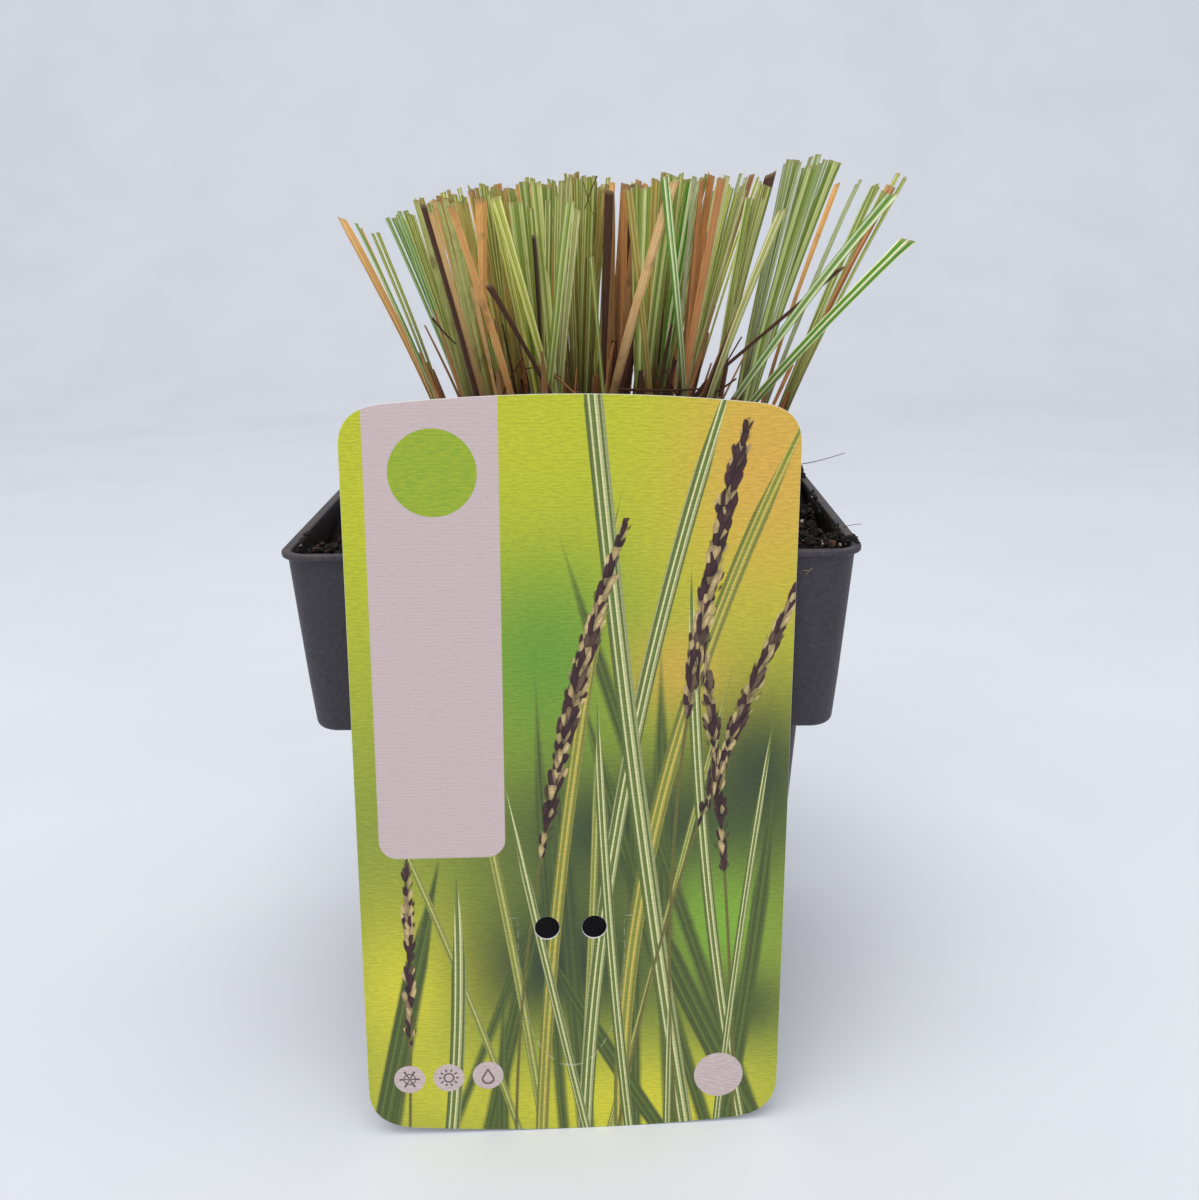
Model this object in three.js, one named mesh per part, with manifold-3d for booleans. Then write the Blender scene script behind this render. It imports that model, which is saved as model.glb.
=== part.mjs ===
// A clump of striped moor grass, cut level, in a square nursery pot with its plant card.
// Millimetres, +Z up. The origin is the middle of the pot's flat underside, and the card stands
// on the -Y side. Driving dimensions come first, then the shapes, then the pieces.
import * as THREE from "three";
import { mergeVertices } from "three/addons/utils/BufferGeometryUtils.js";
import Module from "manifold-3d";

const wasm = await Module();
wasm.setup();

// Driving dimensions
const POT_HEIGHT = 120;
const RIM_HALF = 55; // half the width over the rim lip
const LIP_OVERHANG = 1.2;
const LIP_HEIGHT = 1.2;
const WALL = 0.8;
const FLOOR = 1.4;
const COLLAR_HEIGHT = 36.8;
const COLLAR_FOOT_HALF = 51.3;
const COLLAR_FILLET = 1.6; // rounding of the collar's lower edge
const BODY_TOP_HALF = 45.5;
const BODY_FOOT_HALF = 40.5;
const CORNER = 5; // radius of the pot's upright corners, under the lip
const GAP = 0.3; // clearance between neighbouring pieces

const DRAIN_HOLE_R = 4.5;
const DRAIN_RING = 27; // distance of the middle holes from the centre
const CORNER_DRAIN_RING = 34.4; // and of the corner holes
const DRAIN_GROOVE = { wide: 5, deep: 0.6, from: 14 };

const SOIL_AT_WALL = 114.8;
const SOIL_HEAP = { middle: 4, reach: 50, high: 6.4 }; // soil drawn up round the crown
const SOIL_LUMP = 0.7;
const SOIL_RINGS = 9; // rings of the surface, from the wall in to the middle
const SOIL_CENTRE = 0.06; // share of the half-width at which the rings stop
const SIDE_MOUND = { x: 48, y: 13, high: 5, radius: 11 }; // soil pushed up against the right wall

const CARD = {
  wide: 83.2,
  high: 149.8,
  thick: 0.5,
  topCorner: 7.5,
  footCorner: 9,
  topBow: 2.6, // rise of the arched top edge
  footBow: 2.2, // drop of the curved foot edge
  lean: 2.5, // degrees back on to the rim
  turn: 3.1, // degrees, its right end towards the pot
  roll: 0.8, // degrees, clockwise as seen from the front
  holeR: 2.45,
  holeSpacing: 9.3,
  holeShift: -0.6, // of the pair, from the card's middle
  holeHeight: 45.5,
};

const CROWN_LEVEL = 122; // height at which the shoots' places are given
const CUT_LEVEL = 188; // height at which the rows' spread is given
const ROW_PITCH = 6; // distance between rows at the crown
const FIRST_ROW = -18; // Y of the front row at the crown
const ROW_SPREAD = 1.1; // share by which a row's distance grows up to the cut
const OUTWARD_BOW = 0.2; // shoots stand steeper at the foot and lean out more above it
const BLADE_THICK = 0.7;
const BLADE_FOOT_WIDE = 1.2;
const BLADE_BENDS = 2; // straight stretches in a blade
// How far a blade's place may stray: at the cut along the row, across it and in height, at the
// foot, in the way it faces (radians), and in width
const STRAY = { tipX: 0.8, tipY: 8, tipZ: 2, foot: 1.6, facing: 2, width: 0.3 };
const FIRST_SEED = 5000; // of the first shoot's draws
const FOOT = { sides: 6, sunk: 8, rises: 7, low: 1.9, mid: 2.1, top: 1.4, hole: 2.5 };

const COLOURS = {
  pot: [0x3a383b, 0.75],
  soil: [0x2a1d16, 1.0],
  card: [0x9fb83a, 0.45],
  green: [0x8fa85a, 0.6],
  dry: [0xb98a52, 0.8],
  culm: [0x3c2820, 0.75],
};

// The tuft, row by row from the front, left to right: name, row, place at the crown, places of the
// outermost cut tips, cut heights there, number of blades and width of a blade. The dead stalk
// stands in the front row, and ends with the kink above which it slants away and the row that it
// slants into.
const TUFT = [
  ["dry_tiller_1a", 1, -14, [-26.5, -19.5], [181.5, 183], 3, 2.3],
  ["green_tiller_1b", 1, -5, [-13.5, 1], [183.5, 182], 5, 2.4],
  ["dry_tiller_1c", 1, 3, [20, 20], [185.5, 185.5], 1, 2.4],
  ["green_tiller_1d", 1, 21, [60.5, 65], [182.5, 174.5], 2, 2.6],
  ["dry_tiller_2a", 2, -18, [-28.5, -17], [182.5, 184], 3, 2.5],
  ["green_tiller_2b", 2, -5, [-11.5, -1], [185.5, 186.5], 5, 2.3],
  ["old_culm_2c", 2, 6.5, [8, 8], [185.5, 185.5], 1, 2.4],
  ["green_tiller_2d", 2, 14, [13, 20], [185, 187], 4, 2.4],
  ["dry_tiller_2e", 2, 20.5, [25, 29.5], [187, 187], 3, 2.3],
  ["green_tiller_2f", 2, 26.5, [35, 38.5], [182, 184.5], 3, 2.4],
  ["green_tiller_2g", 2, 32.5, [42.5, 47.5], [189.5, 189.5], 5, 2.4],
  ["green_tiller_3a", 3, -18, [-35, -29], [181, 182.5], 4, 2.3],
  ["green_tiller_3b", 3, -11, [-24.5, -14.5], [184.5, 185.5], 5, 2.3],
  ["dry_tiller_3c", 3, -4.5, [-10, -5], [185.5, 186.5], 3, 2.3],
  ["green_tiller_3d", 3, 2, [-0.5, 4], [187, 187], 4, 2.2],
  ["dry_tiller_3e", 3, 9, [8.5, 14], [184.5, 186], 3, 2.3],
  ["green_tiller_3f", 3, 16, [18.5, 28], [186.5, 188], 4, 2.3],
  ["dead_stalk_1e", 1, 15, [53.1, 53.1], [170.1, 170.1], 1, 1.4, { x: 26, z: 146, row: 1.5 }],
  ["green_tiller_4a", 4, -19, [-38.5, -34], [180.5, 182], 3, 2.4],
  ["dry_tiller_4b", 4, -12.5, [-29.5, -22], [184, 185], 3, 2.2],
  ["green_tiller_4c", 4, -6, [-17.5, -9], [185.5, 186.5], 4, 2.3],
  ["green_tiller_4d", 4, 0.5, [-4, 7], [186.5, 186.5], 5, 2.2],
  ["dry_tiller_4e", 4, 7.5, [11.5, 15], [186.5, 186.5], 3, 2.1],
  ["green_tiller_4f", 4, 14.5, [19.5, 26.5], [187, 187], 4, 2.2],
  ["green_tiller_4g", 4, 21.5, [31, 37], [185, 185], 4, 2.2],
  ["dry_tiller_4h", 4, 28, [42.5, 42.5], [187.5, 187.5], 1, 2.3],
  ["green_tiller_4i", 4, 34, [52.5, 56], [190.5, 190.5], 2, 2.3],
  ["green_tiller_4j", 4, 40.5, [64, 70], [185.5, 186.5], 4, 2.3],
  ["green_stray_5a", 5, -25, [-51.5, -44], [180.5, 177], 3, 2.3],
  ["green_tiller_5b", 5, -18, [-34.5, -28], [182.5, 184.5], 4, 2.3],
  ["dry_tiller_5c", 5, -11.5, [-22, -17], [186, 186], 3, 2.3],
  ["green_tiller_5d", 5, -5, [-12, -5], [186.5, 187], 4, 2.3],
  ["green_tiller_5e", 5, 1.5, [0.5, 7.5], [187, 186.5], 4, 2.3],
  ["dry_tiller_5f", 5, 8.5, [12.5, 17], [186.5, 186.5], 3, 2.3],
  ["green_tiller_5g", 5, 15.5, [22, 30], [187, 186.5], 4, 2.3],
  ["dry_tiller_5h", 5, 38, [59, 63], [186.5, 187.5], 2, 2.0],
  ["green_tiller_6a", 6, -14, [-33, -24], [184, 186], 5, 2.3],
  ["dry_tiller_6b", 6, -7, [-18.5, -11], [186, 187], 3, 2.3],
  ["green_tiller_6c", 6, 0, [-6, 4.5], [187, 187.5], 5, 2.3],
  ["dry_tiller_6d", 6, 7, [9.5, 15.5], [187, 187], 3, 2.3],
  ["green_tiller_6e", 6, 14, [21, 29], [187.5, 187.5], 4, 2.3],
  ["green_tiller_6f", 6, 22, [35, 43], [187.5, 188.5], 3, 2.3],
  ["green_tiller_7a", 7, -10, [-27, -17], [184, 186], 4, 2.3],
  ["dry_tiller_7b", 7, -3, [-12, -5], [186, 187], 3, 2.3],
  ["green_tiller_7c", 7, 4, [0.5, 9], [187, 187], 4, 2.3],
  ["dry_tiller_7d", 7, 11, [14.5, 20.5], [187, 187], 3, 2.3],
  ["green_tiller_7e", 7, 18, [27, 36], [187, 188], 4, 2.3],
];

// Numbers between 0 and 1 in an order fixed by the seed
function draws(seed) {
  let state = seed >>> 0;
  return () => {
    state = (state + 0x6d2b79f5) >>> 0;
    let mixed = Math.imul(state ^ (state >>> 15), state | 1);
    mixed ^= mixed + Math.imul(mixed ^ (mixed >>> 7), mixed | 61);
    return ((mixed ^ (mixed >>> 14)) >>> 0) / 4294967296;
  };
}

const mix = (from, to, share) => from + (to - from) * share;
const degrees = THREE.MathUtils.degToRad;

// Shapes

// A closed skin through rings of points, with a flat cap on the first ring and on the last. The far
// half of each band is split the other way, so that a thin blade's two faces are split alike.
function loft(rings) {
  const count = rings[0].length;
  const faces = [];
  for (let r = 0; r + 1 < rings.length; r++)
    for (let i = 0; i < count; i++) {
      const a = r * count + i;
      const b = r * count + ((i + 1) % count);
      if (i < count / 2) faces.push(a, b, b + count, a, b + count, a + count);
      else faces.push(a, b, a + count, b, b + count, a + count);
    }
  const last = (rings.length - 1) * count;
  for (let i = 1; i + 1 < count; i++) {
    faces.push(0, i + 1, i);
    faces.push(last, last + i, last + i + 1);
  }
  const geometry = new THREE.BufferGeometry();
  geometry.setAttribute("position", new THREE.Float32BufferAttribute(rings.flat(2), 3));
  geometry.setIndex(faces);
  return geometry;
}

function solidOf(geometry) {
  const bare = geometry.clone();
  bare.deleteAttribute("normal");
  bare.deleteAttribute("uv");
  const merged = mergeVertices(bare, 1e-4);
  return new wasm.Manifold(
    new wasm.Mesh({
      numProp: 3,
      vertProperties: merged.attributes.position.array,
      triVerts: new Uint32Array(merged.index.array),
    }),
  );
}

function geometryOf(solid) {
  const mesh = solid.getMesh();
  const geometry = new THREE.BufferGeometry();
  geometry.setAttribute("position", new THREE.BufferAttribute(mesh.vertProperties, 3));
  geometry.setIndex(new THREE.BufferAttribute(mesh.triVerts, 1));
  return geometry;
}

const joined = (solids) => solids.reduce((whole, solid) => whole.add(solid));
const cut = (solid, tools) => tools.reduce((rest, tool) => rest.subtract(tool), solid);

// An upright prism or tapering foot from one height to another
function upright(low, high, radiusLow, radiusHigh, sides, x, y) {
  const shape = new THREE.CylinderGeometry(radiusHigh, radiusLow, high - low, sides);
  shape.rotateX(Math.PI / 2).translate(x, y, (low + high) / 2);
  return solidOf(shape);
}

// Points round a square with rounded corners
function roundedSquare(half, corner, steps = 5) {
  const points = [];
  for (let quarter = 0; quarter < 4; quarter++)
    for (let i = 0; i <= steps; i++) {
      const turn = ((quarter + i / steps) * Math.PI) / 2;
      const middle = half - corner;
      const signX = quarter === 0 || quarter === 3 ? 1 : -1;
      const signY = quarter < 2 ? 1 : -1;
      points.push([
        signX * middle + corner * Math.cos(turn),
        signY * middle + corner * Math.sin(turn),
      ]);
    }
  return points;
}

const ringAt = (z, half, corner) => roundedSquare(half, corner).map(([x, y]) => [x, y, z]);

// The pot's outer half-width at a height, under the lip
const collarFoot = POT_HEIGHT - COLLAR_HEIGHT;
const underLip = RIM_HALF - LIP_OVERHANG;
function bodyHalf(z) {
  return mix(BODY_FOOT_HALF, BODY_TOP_HALF, z / collarFoot);
}
function collarHalf(z) {
  const share = (z - collarFoot) / (POT_HEIGHT - LIP_HEIGHT - collarFoot);
  return mix(COLLAR_FOOT_HALF, underLip, share);
}

// Height of the soil's surface
function soilHeight(x, y) {
  const away = Math.max(Math.abs(x - SOIL_HEAP.middle), Math.abs(y)) / SOIL_HEAP.reach;
  const heap = SOIL_HEAP.high * Math.max(0, 1 - away * away);
  const lumps = Math.sin(x * 0.31 + 1.3) * Math.cos(y * 0.37 + 0.4) + Math.sin((x + y) * 0.19);
  const fromMound = Math.hypot(x - SIDE_MOUND.x, y - SIDE_MOUND.y) / SIDE_MOUND.radius;
  const mound = SIDE_MOUND.high * Math.exp(-fromMound * fromMound);
  return SOIL_AT_WALL + heap + SOIL_LUMP * lumps + mound;
}

// Pieces

function makePot() {
  const rise = POT_HEIGHT - LIP_HEIGHT;
  const ledge = collarFoot + WALL;
  const outside = [
    ringAt(0, BODY_FOOT_HALF - 0.9, CORNER - 0.9),
    ringAt(0.9, BODY_FOOT_HALF, CORNER),
    ringAt(collarFoot, BODY_TOP_HALF, CORNER),
    ringAt(collarFoot, COLLAR_FOOT_HALF - COLLAR_FILLET, CORNER - COLLAR_FILLET),
    ringAt(collarFoot + 0.3 * COLLAR_FILLET, COLLAR_FOOT_HALF - 0.3 * COLLAR_FILLET, CORNER),
    ringAt(collarFoot + COLLAR_FILLET, collarHalf(collarFoot + COLLAR_FILLET), CORNER),
    ringAt(rise, underLip, CORNER),
    ringAt(rise, RIM_HALF - 0.3, CORNER + 0.7),
    ringAt(rise + 0.3, RIM_HALF, CORNER + 1),
    ringAt(POT_HEIGHT - 0.4, RIM_HALF, CORNER + 1),
    ringAt(POT_HEIGHT, RIM_HALF - 0.4, CORNER + 0.6),
  ];
  const inside = [
    ringAt(POT_HEIGHT, underLip - WALL + 0.3, CORNER - WALL + 0.3),
    ringAt(POT_HEIGHT - 0.4, underLip - WALL, CORNER - WALL),
    ringAt(ledge, collarHalf(ledge) - WALL, CORNER - WALL),
    ringAt(ledge, bodyHalf(ledge) - WALL, CORNER - WALL),
    ringAt(FLOOR, bodyHalf(FLOOR) - WALL, CORNER - WALL),
  ];
  const tools = [];
  for (let i = 0; i < 8; i++) {
    const turn = (i * Math.PI) / 4;
    const ring = i % 2 ? CORNER_DRAIN_RING : DRAIN_RING;
    const [x, y] = [ring * Math.cos(turn), ring * Math.sin(turn)];
    tools.push(upright(-1, FLOOR + 1, DRAIN_HOLE_R, DRAIN_HOLE_R, 12, x, y));
  }
  const length = BODY_FOOT_HALF + 2 - DRAIN_GROOVE.from;
  for (let i = 0; i < 4; i++) {
    const groove = new THREE.BoxGeometry(length, DRAIN_GROOVE.wide, 2 * DRAIN_GROOVE.deep);
    groove.translate(DRAIN_GROOVE.from + length / 2, 0, 0).rotateZ((i * Math.PI) / 2);
    tools.push(solidOf(groove));
  }
  return geometryOf(cut(solidOf(loft([...outside, ...inside])), tools));
}

function makeSoil() {
  const ledge = collarFoot + WALL + GAP;
  const side = WALL + GAP;
  const wallHalf = collarHalf(SOIL_AT_WALL) - side;
  const rings = [
    ringAt(FLOOR + GAP, bodyHalf(FLOOR) - side, CORNER - side),
    ringAt(ledge, bodyHalf(ledge) - side, CORNER - side),
    ringAt(ledge, collarHalf(ledge) - side, CORNER - side),
  ];
  for (let i = 0; i < SOIL_RINGS; i++) {
    const share = mix(1, SOIL_CENTRE, i / (SOIL_RINGS - 1));
    const around = roundedSquare(wallHalf * share, (CORNER - side) * share);
    rings.push(around.map(([x, y]) => [x, y, soilHeight(x, y)]));
  }
  const holes = TUFT.map(([, row, place]) => {
    const y = rowAt(row, 0);
    const top = soilHeight(place, y);
    const low = top - FOOT.sunk - GAP;
    return upright(low, top + FOOT.sunk, FOOT.hole, FOOT.hole, FOOT.sides, place, y);
  });
  return geometryOf(cut(solidOf(loft(rings)), holes));
}

// Y of a row at a share of the way up from the crown to the cut
const rowAt = (row, share) => (FIRST_ROW + (row - 1) * ROW_PITCH) * (1 + ROW_SPREAD * share);

// How far a shoot has spread at a height, from 0 at the crown to 1 at the cut
function spreadAt(z) {
  const share = Math.max(0, (z - CROWN_LEVEL) / (CUT_LEVEL - CROWN_LEVEL));
  return share - OUTWARD_BOW * share * (1 - share);
}

// One blade: level cross-sections, from inside the shoot's foot to the cut tip
function blade(foot, tip, tipSpread, wide, facing, kink) {
  const pointAt = (z) => {
    const spread = spreadAt(z) / tipSpread;
    return { x: mix(foot.x, tip.x, spread), y: mix(foot.y, tip.y, spread), z };
  };
  const rings = [];
  for (let i = 0; i <= BLADE_BENDS; i++) {
    const onCurve = pointAt(mix(foot.z, tip.z, i / BLADE_BENDS));
    const { x, y, z } = kink && i === 1 ? { ...pointAt(kink.z), x: kink.x } : onCurve;
    const half = mix(BLADE_FOOT_WIDE, wide, i / BLADE_BENDS) / 2;
    const alongX = Math.cos(facing) * half;
    const alongY = Math.sin(facing) * half;
    const acrossX = (-Math.sin(facing) * BLADE_THICK) / 2;
    const acrossY = (Math.cos(facing) * BLADE_THICK) / 2;
    rings.push([
      [x - alongX - acrossX, y - alongY - acrossY, z],
      [x + alongX - acrossX, y + alongY - acrossY, z],
      [x + alongX + acrossX, y + alongY + acrossY, z],
      [x - alongX + acrossX, y - alongY + acrossY, z],
    ]);
  }
  return solidOf(loft(rings));
}

// A shoot: a tapering foot in its hole, with the blades standing out of it as a narrow fan
function makeTiller([, row, place, tips, heights, blades, wide, kink], index) {
  const draw = draws(FIRST_SEED + index);
  const stray = (range) => (draw() - 0.5) * range;
  const y = rowAt(row, 0);
  const ground = soilHeight(place, y);
  const [low, mid, top] = [ground - FOOT.sunk, ground, ground + FOOT.rises];
  const parts = [
    upright(low, mid, FOOT.low, FOOT.mid, FOOT.sides, place, y),
    upright(mid, top, FOOT.mid, FOOT.top, FOOT.sides, place, y),
  ];
  for (let i = 0; i < blades; i++) {
    const share = blades > 1 ? i / (blades - 1) : 0.5;
    const tipZ = mix(heights[0], heights[1], share) + stray(STRAY.tipZ);
    const tipSpread = spreadAt(tipZ);
    const tip = {
      x: mix(tips[0], tips[1], share) + stray(STRAY.tipX),
      y: rowAt(kink ? kink.row : row, tipSpread) + stray(STRAY.tipY),
      z: tipZ,
    };
    const foot = { x: place + stray(STRAY.foot), y: y + stray(STRAY.foot), z: ground + 1 };
    const facing = stray(STRAY.facing);
    const width = wide * (1 + stray(STRAY.width));
    parts.push(blade(foot, tip, tipSpread, width, facing, kink));
  }
  return geometryOf(joined(parts));
}

// The card, flat on its back: outline with an arched top and a curved foot, and its two holes
function makeCard() {
  const { wide, high, topCorner, footCorner, topBow, footBow } = CARD;
  const half = wide / 2;
  const topR = (half * half) / (2 * topBow);
  const footR = (half * half) / (2 * footBow);
  const arch = (radius, x) => radius - Math.sqrt(radius * radius - x * x);
  const outline = new THREE.Shape();
  const footX = half - footCorner;
  const topX = half - topCorner;
  const footY = arch(footR, footX);
  const topY = high - arch(topR, topX);
  outline.moveTo(-footX, footY);
  const footTurn = Math.asin(footX / footR);
  outline.absarc(0, footR, footR, -Math.PI / 2 - footTurn, -Math.PI / 2 + footTurn, false);
  outline.quadraticCurveTo(half, arch(footR, half), half, footY + footCorner);
  outline.lineTo(half, topY - topCorner);
  outline.quadraticCurveTo(half, high - arch(topR, half), topX, topY);
  const topTurn = Math.asin(topX / topR);
  outline.absarc(0, high - topR, topR, Math.PI / 2 - topTurn, Math.PI / 2 + topTurn, false);
  outline.quadraticCurveTo(-half, high - arch(topR, half), -half, topY - topCorner);
  outline.lineTo(-half, footY + footCorner);
  outline.quadraticCurveTo(-half, arch(footR, half), -footX, footY);
  for (const side of [-1, 1]) {
    const hole = new THREE.Path();
    const holeX = CARD.holeShift + (side * CARD.holeSpacing) / 2;
    hole.absarc(holeX, CARD.holeHeight, CARD.holeR, 0, 2 * Math.PI, true);
    outline.holes.push(hole);
  }
  const card = new THREE.ExtrudeGeometry(outline, {
    depth: CARD.thick,
    bevelEnabled: false,
    curveSegments: 10,
  });
  const roll = degrees(-CARD.roll);
  card.translate(0, -footR, 0).rotateZ(roll);
  return card.translate((footR - high / 2) * Math.sin(-roll), footR, 0);
}

// The part

function piece(name, geometry, [colour, roughness]) {
  const material = new THREE.MeshStandardMaterial({ color: colour, roughness, metalness: 0 });
  const mesh = new THREE.Mesh(geometry, material);
  mesh.name = name;
  return mesh;
}

const part = new THREE.Group();
part.add(piece("pot", makePot(), COLOURS.pot));
part.add(piece("soil", makeSoil(), COLOURS.soil));

const cardStand = new THREE.Group();
const card = piece("label", makeCard(), COLOURS.card);
card.rotation.x = Math.PI / 2 - degrees(CARD.lean);
cardStand.add(card);
cardStand.rotation.z = degrees(CARD.turn);
cardStand.position.y =
  -RIM_HALF -
  GAP -
  POT_HEIGHT * Math.tan(degrees(CARD.lean)) -
  (CARD.wide / 2) * Math.sin(degrees(CARD.turn));
part.add(cardStand);

TUFT.forEach((shoot, index) => {
  const kind = shoot[0].split("_")[0];
  const colours = { green: COLOURS.green, dry: COLOURS.dry, old: COLOURS.culm, dead: COLOURS.culm };
  part.add(piece(shoot[0], makeTiller(shoot, index), colours[kind]));
});

export default part;
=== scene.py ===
# A clump of striped moor grass in a square nursery pot, with its plant card leaning on the rim:
# the finished surfaces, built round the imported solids. Metres, +Z up, in the solids' own frame.
import math
from collections import namedtuple
import bpy
import numpy as np
from bpy.props import FloatProperty, FloatVectorProperty, IntProperty, PointerProperty
from mathutils import Matrix, Vector, noise


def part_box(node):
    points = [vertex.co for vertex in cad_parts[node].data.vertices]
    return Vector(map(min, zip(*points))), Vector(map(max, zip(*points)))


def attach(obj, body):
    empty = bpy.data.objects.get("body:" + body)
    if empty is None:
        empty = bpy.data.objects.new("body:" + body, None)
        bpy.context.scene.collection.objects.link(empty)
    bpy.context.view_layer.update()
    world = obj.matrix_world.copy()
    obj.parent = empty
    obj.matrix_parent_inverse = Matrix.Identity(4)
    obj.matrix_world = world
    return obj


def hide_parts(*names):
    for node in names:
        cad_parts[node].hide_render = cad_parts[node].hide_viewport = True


bl_info = {
    "name": "Potted moor grass",
    "version": (1, 0, 0),
    "blender": (4, 5, 0),
    "location": "3D View > Sidebar > Moor grass",
    "description": "Builds the pot, soil, card and striped tuft round their packed solids",
    "category": "Object",
}

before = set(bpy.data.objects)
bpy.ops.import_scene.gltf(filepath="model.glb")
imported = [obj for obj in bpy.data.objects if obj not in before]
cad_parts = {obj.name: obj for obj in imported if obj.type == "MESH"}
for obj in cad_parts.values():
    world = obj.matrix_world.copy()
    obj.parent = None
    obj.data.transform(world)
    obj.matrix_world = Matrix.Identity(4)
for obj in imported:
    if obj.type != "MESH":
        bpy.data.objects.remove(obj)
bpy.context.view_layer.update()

# Driving sizes, taken from the solids or shared with them
MM = 0.001
POT_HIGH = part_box("pot")[1]
POT_HEIGHT = POT_HIGH.z
RIM_HALF = POT_HIGH.x
SOIL_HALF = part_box("soil")[1].x
WALL = 0.8 * MM
FLOOR = 1.4 * MM
GAP = 0.3 * MM
LIP_OVERHANG = 1.2 * MM
LIP_HEIGHT = 1.2 * MM
COLLAR_FOOT = POT_HEIGHT - 36.8 * MM
COLLAR_FOOT_HALF = 51.3 * MM
COLLAR_FILLET = 1.6 * MM
BODY_TOP_HALF = 45.5 * MM
BODY_FOOT_HALF = 40.5 * MM
CORNER = 5 * MM
LIP_CORNER = CORNER + 1 * MM
UNDER_LIP = RIM_HALF - LIP_OVERHANG
POT_EDGE = 0.38 * MM
DRAIN_HOLES = {"count": 8, "radius": 4.5 * MM, "from_middle": (27 * MM, 34.4 * MM)}
DRAIN_CUT = (-2 * MM, 3 * MM)  # the holes' cutters pass both faces of the floor
DRAIN_GROOVE = {"start": 14 * MM, "end": 44 * MM, "half": 2.5 * MM, "deep": 0.6 * MM}

# The soil's surface in millimetres, as the solid has it
SOIL_AT_WALL = 114.8
SOIL_HEAP = {"middle": 4, "reach": 50, "high": 6.4}
SOIL_LUMP = 0.7
SIDE_MOUND = {"x": 48, "y": 13, "high": 5, "radius": 11}

# Loose litter on the soil: the setting that counts it, sizes in millimetres, proportions, tilt
# in radians, how readily it lies on the heaps against the rim, and tints
Litter = namedtuple("Litter", "count sizes shape tilt heaped tints")
LITTER = {
    "soil_crumbs": Litter("crumbs", (0.7, 2.4), (1, 0.8, 0.65), 1.5, 1, ["#1a0f0a", "#100907", "#26160f"]),
    "bark_flakes": Litter("flakes", (2.2, 6.5), (1, 0.38, 0.2), 0.5, 0.3, ["#52301f", "#3a2016", "#7a5442"]),
    "pale_grains": Litter("grains", (0.6, 1.6), (1, 0.9, 0.8), 1.5, 0.25, ["#b9aa93", "#8f7c63", "#cfc6b4"]),
}
FIBRE = {"margin": 8, "long": (4, 13), "thick": (0.08, 0.28), "arch": 1.5, "clear": 0.25, "curl": 2.2}
FIBRE_TINTS = ["#8a6a45", "#5b4029", "#a98d63", "#3c2a1e"]

# Crumbs heaped against the rim, in millimetres: place, reach and height of each heap, how far it
# spills over the rim, and its share of the crumbs
Heap = namedtuple("Heap", "x y reach high spill share")
HEAPS = [
    Heap(-47, -45, 8, 3.6, 0, 1),
    Heap(48, -44, 9, 3.4, 0, 1),
    Heap(50, -15, 8, 3.2, 0, 1),
    Heap(50.5, 16, 7, 3.2, 0, 1),
    Heap(54.2, 19, 5, 1.7, 2.6, 0.35),
    Heap(55, -45, 4.5, 0.3, 3, 0.07),
]
HEAPED_SIZE = 0.7  # of the size that loose litter has elsewhere
HEAPED_TILT = 1.5
LITTER_MARGIN = 1.2 * MM
HEAP_MARGIN = 0.6
ON_RIM = SOIL_HALF - 1 * MM  # litter that lies farther out rests on the rim

CARD_WIDE = 83.2 * MM
CARD_TALL = 149.8 * MM
CARD_THICK = 0.5 * MM
CARD_EDGE = 0.09 * MM
CARD_TOP_CORNER = 7.5 * MM
CARD_FOOT_CORNER = 9 * MM
CARD_TOP_BOW = 2.6 * MM
CARD_FOOT_BOW = 2.2 * MM
CARD_LEAN = math.radians(2.5)
CARD_TURN = math.radians(3.1)
CARD_ROLL = math.radians(0.8)
CARD_HOLE = {"radius": 2.45 * MM, "spacing": 9.3 * MM, "shift": -0.6 * MM, "high": 45.5 * MM}
# Where the card's faces lie on its texture: start and width of each, and the ends of them all
MAP_ACROSS = {"front": (0.01, 0.64), "back": (0.67, 0.28), "edge": (0.965, 0.03)}
MAP_UP = (0.01, 0.99)
FLAT_FACE = 0.9  # a face of the flat sheet points this much up or down, or else is its edge

# The print, in millimetres across from the card's middle and up from its foot.
# Blurred patches of its ground: colour, place, reach across and up, strength
GROUND_PATCHES = [
    ("ground_mid", (-5, 102), (19, 26), 0.9),
    ("ground_deep", (12, 66), (30, 15), 1),
    ("ground_deep", (-3, 37), (26, 14), 1),
    ("ground_deep", (36, 78), (11, 17), 0.9),
    ("ground_ochre", (35, 138), (17, 26), 1),
    ("ground_ochre", (20, 98), (10, 9), 0.7),
    ("ground_high", (-6, 146), (18, 22), 0.9),
    ("ground_yellow", (-34, 32), (13, 19), 0.95),
    ("ground_yellow", (12, 5), (36, 13), 1),
    ("ground_light", (29, 46), (9, 13), 0.9),
    ("ground_deep", (34, 27), (10, 8), 0.8),
    ("ground_yellow", (-28, 10), (15, 10), 0.6),
]
# Dark patches that sink the far leaves behind the near ones
FAR_PATCHES = [
    ("ground_deep", (-1, 46), (17, 20), 0.5),
    ("ground_deep", (32, 74), (12, 16), 0.4),
]
# Colours of a printed leaf and of its stripes, by kind
PRINT_LEAVES = {
    "far": ("leaf_dark", "leaf_green"),
    "middle": ("leaf_mid", "leaf_pale"),
    "cream": ("leaf_green", "leaf_cream"),
    "gold": ("leaf_mid", "leaf_gold"),
}
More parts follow.
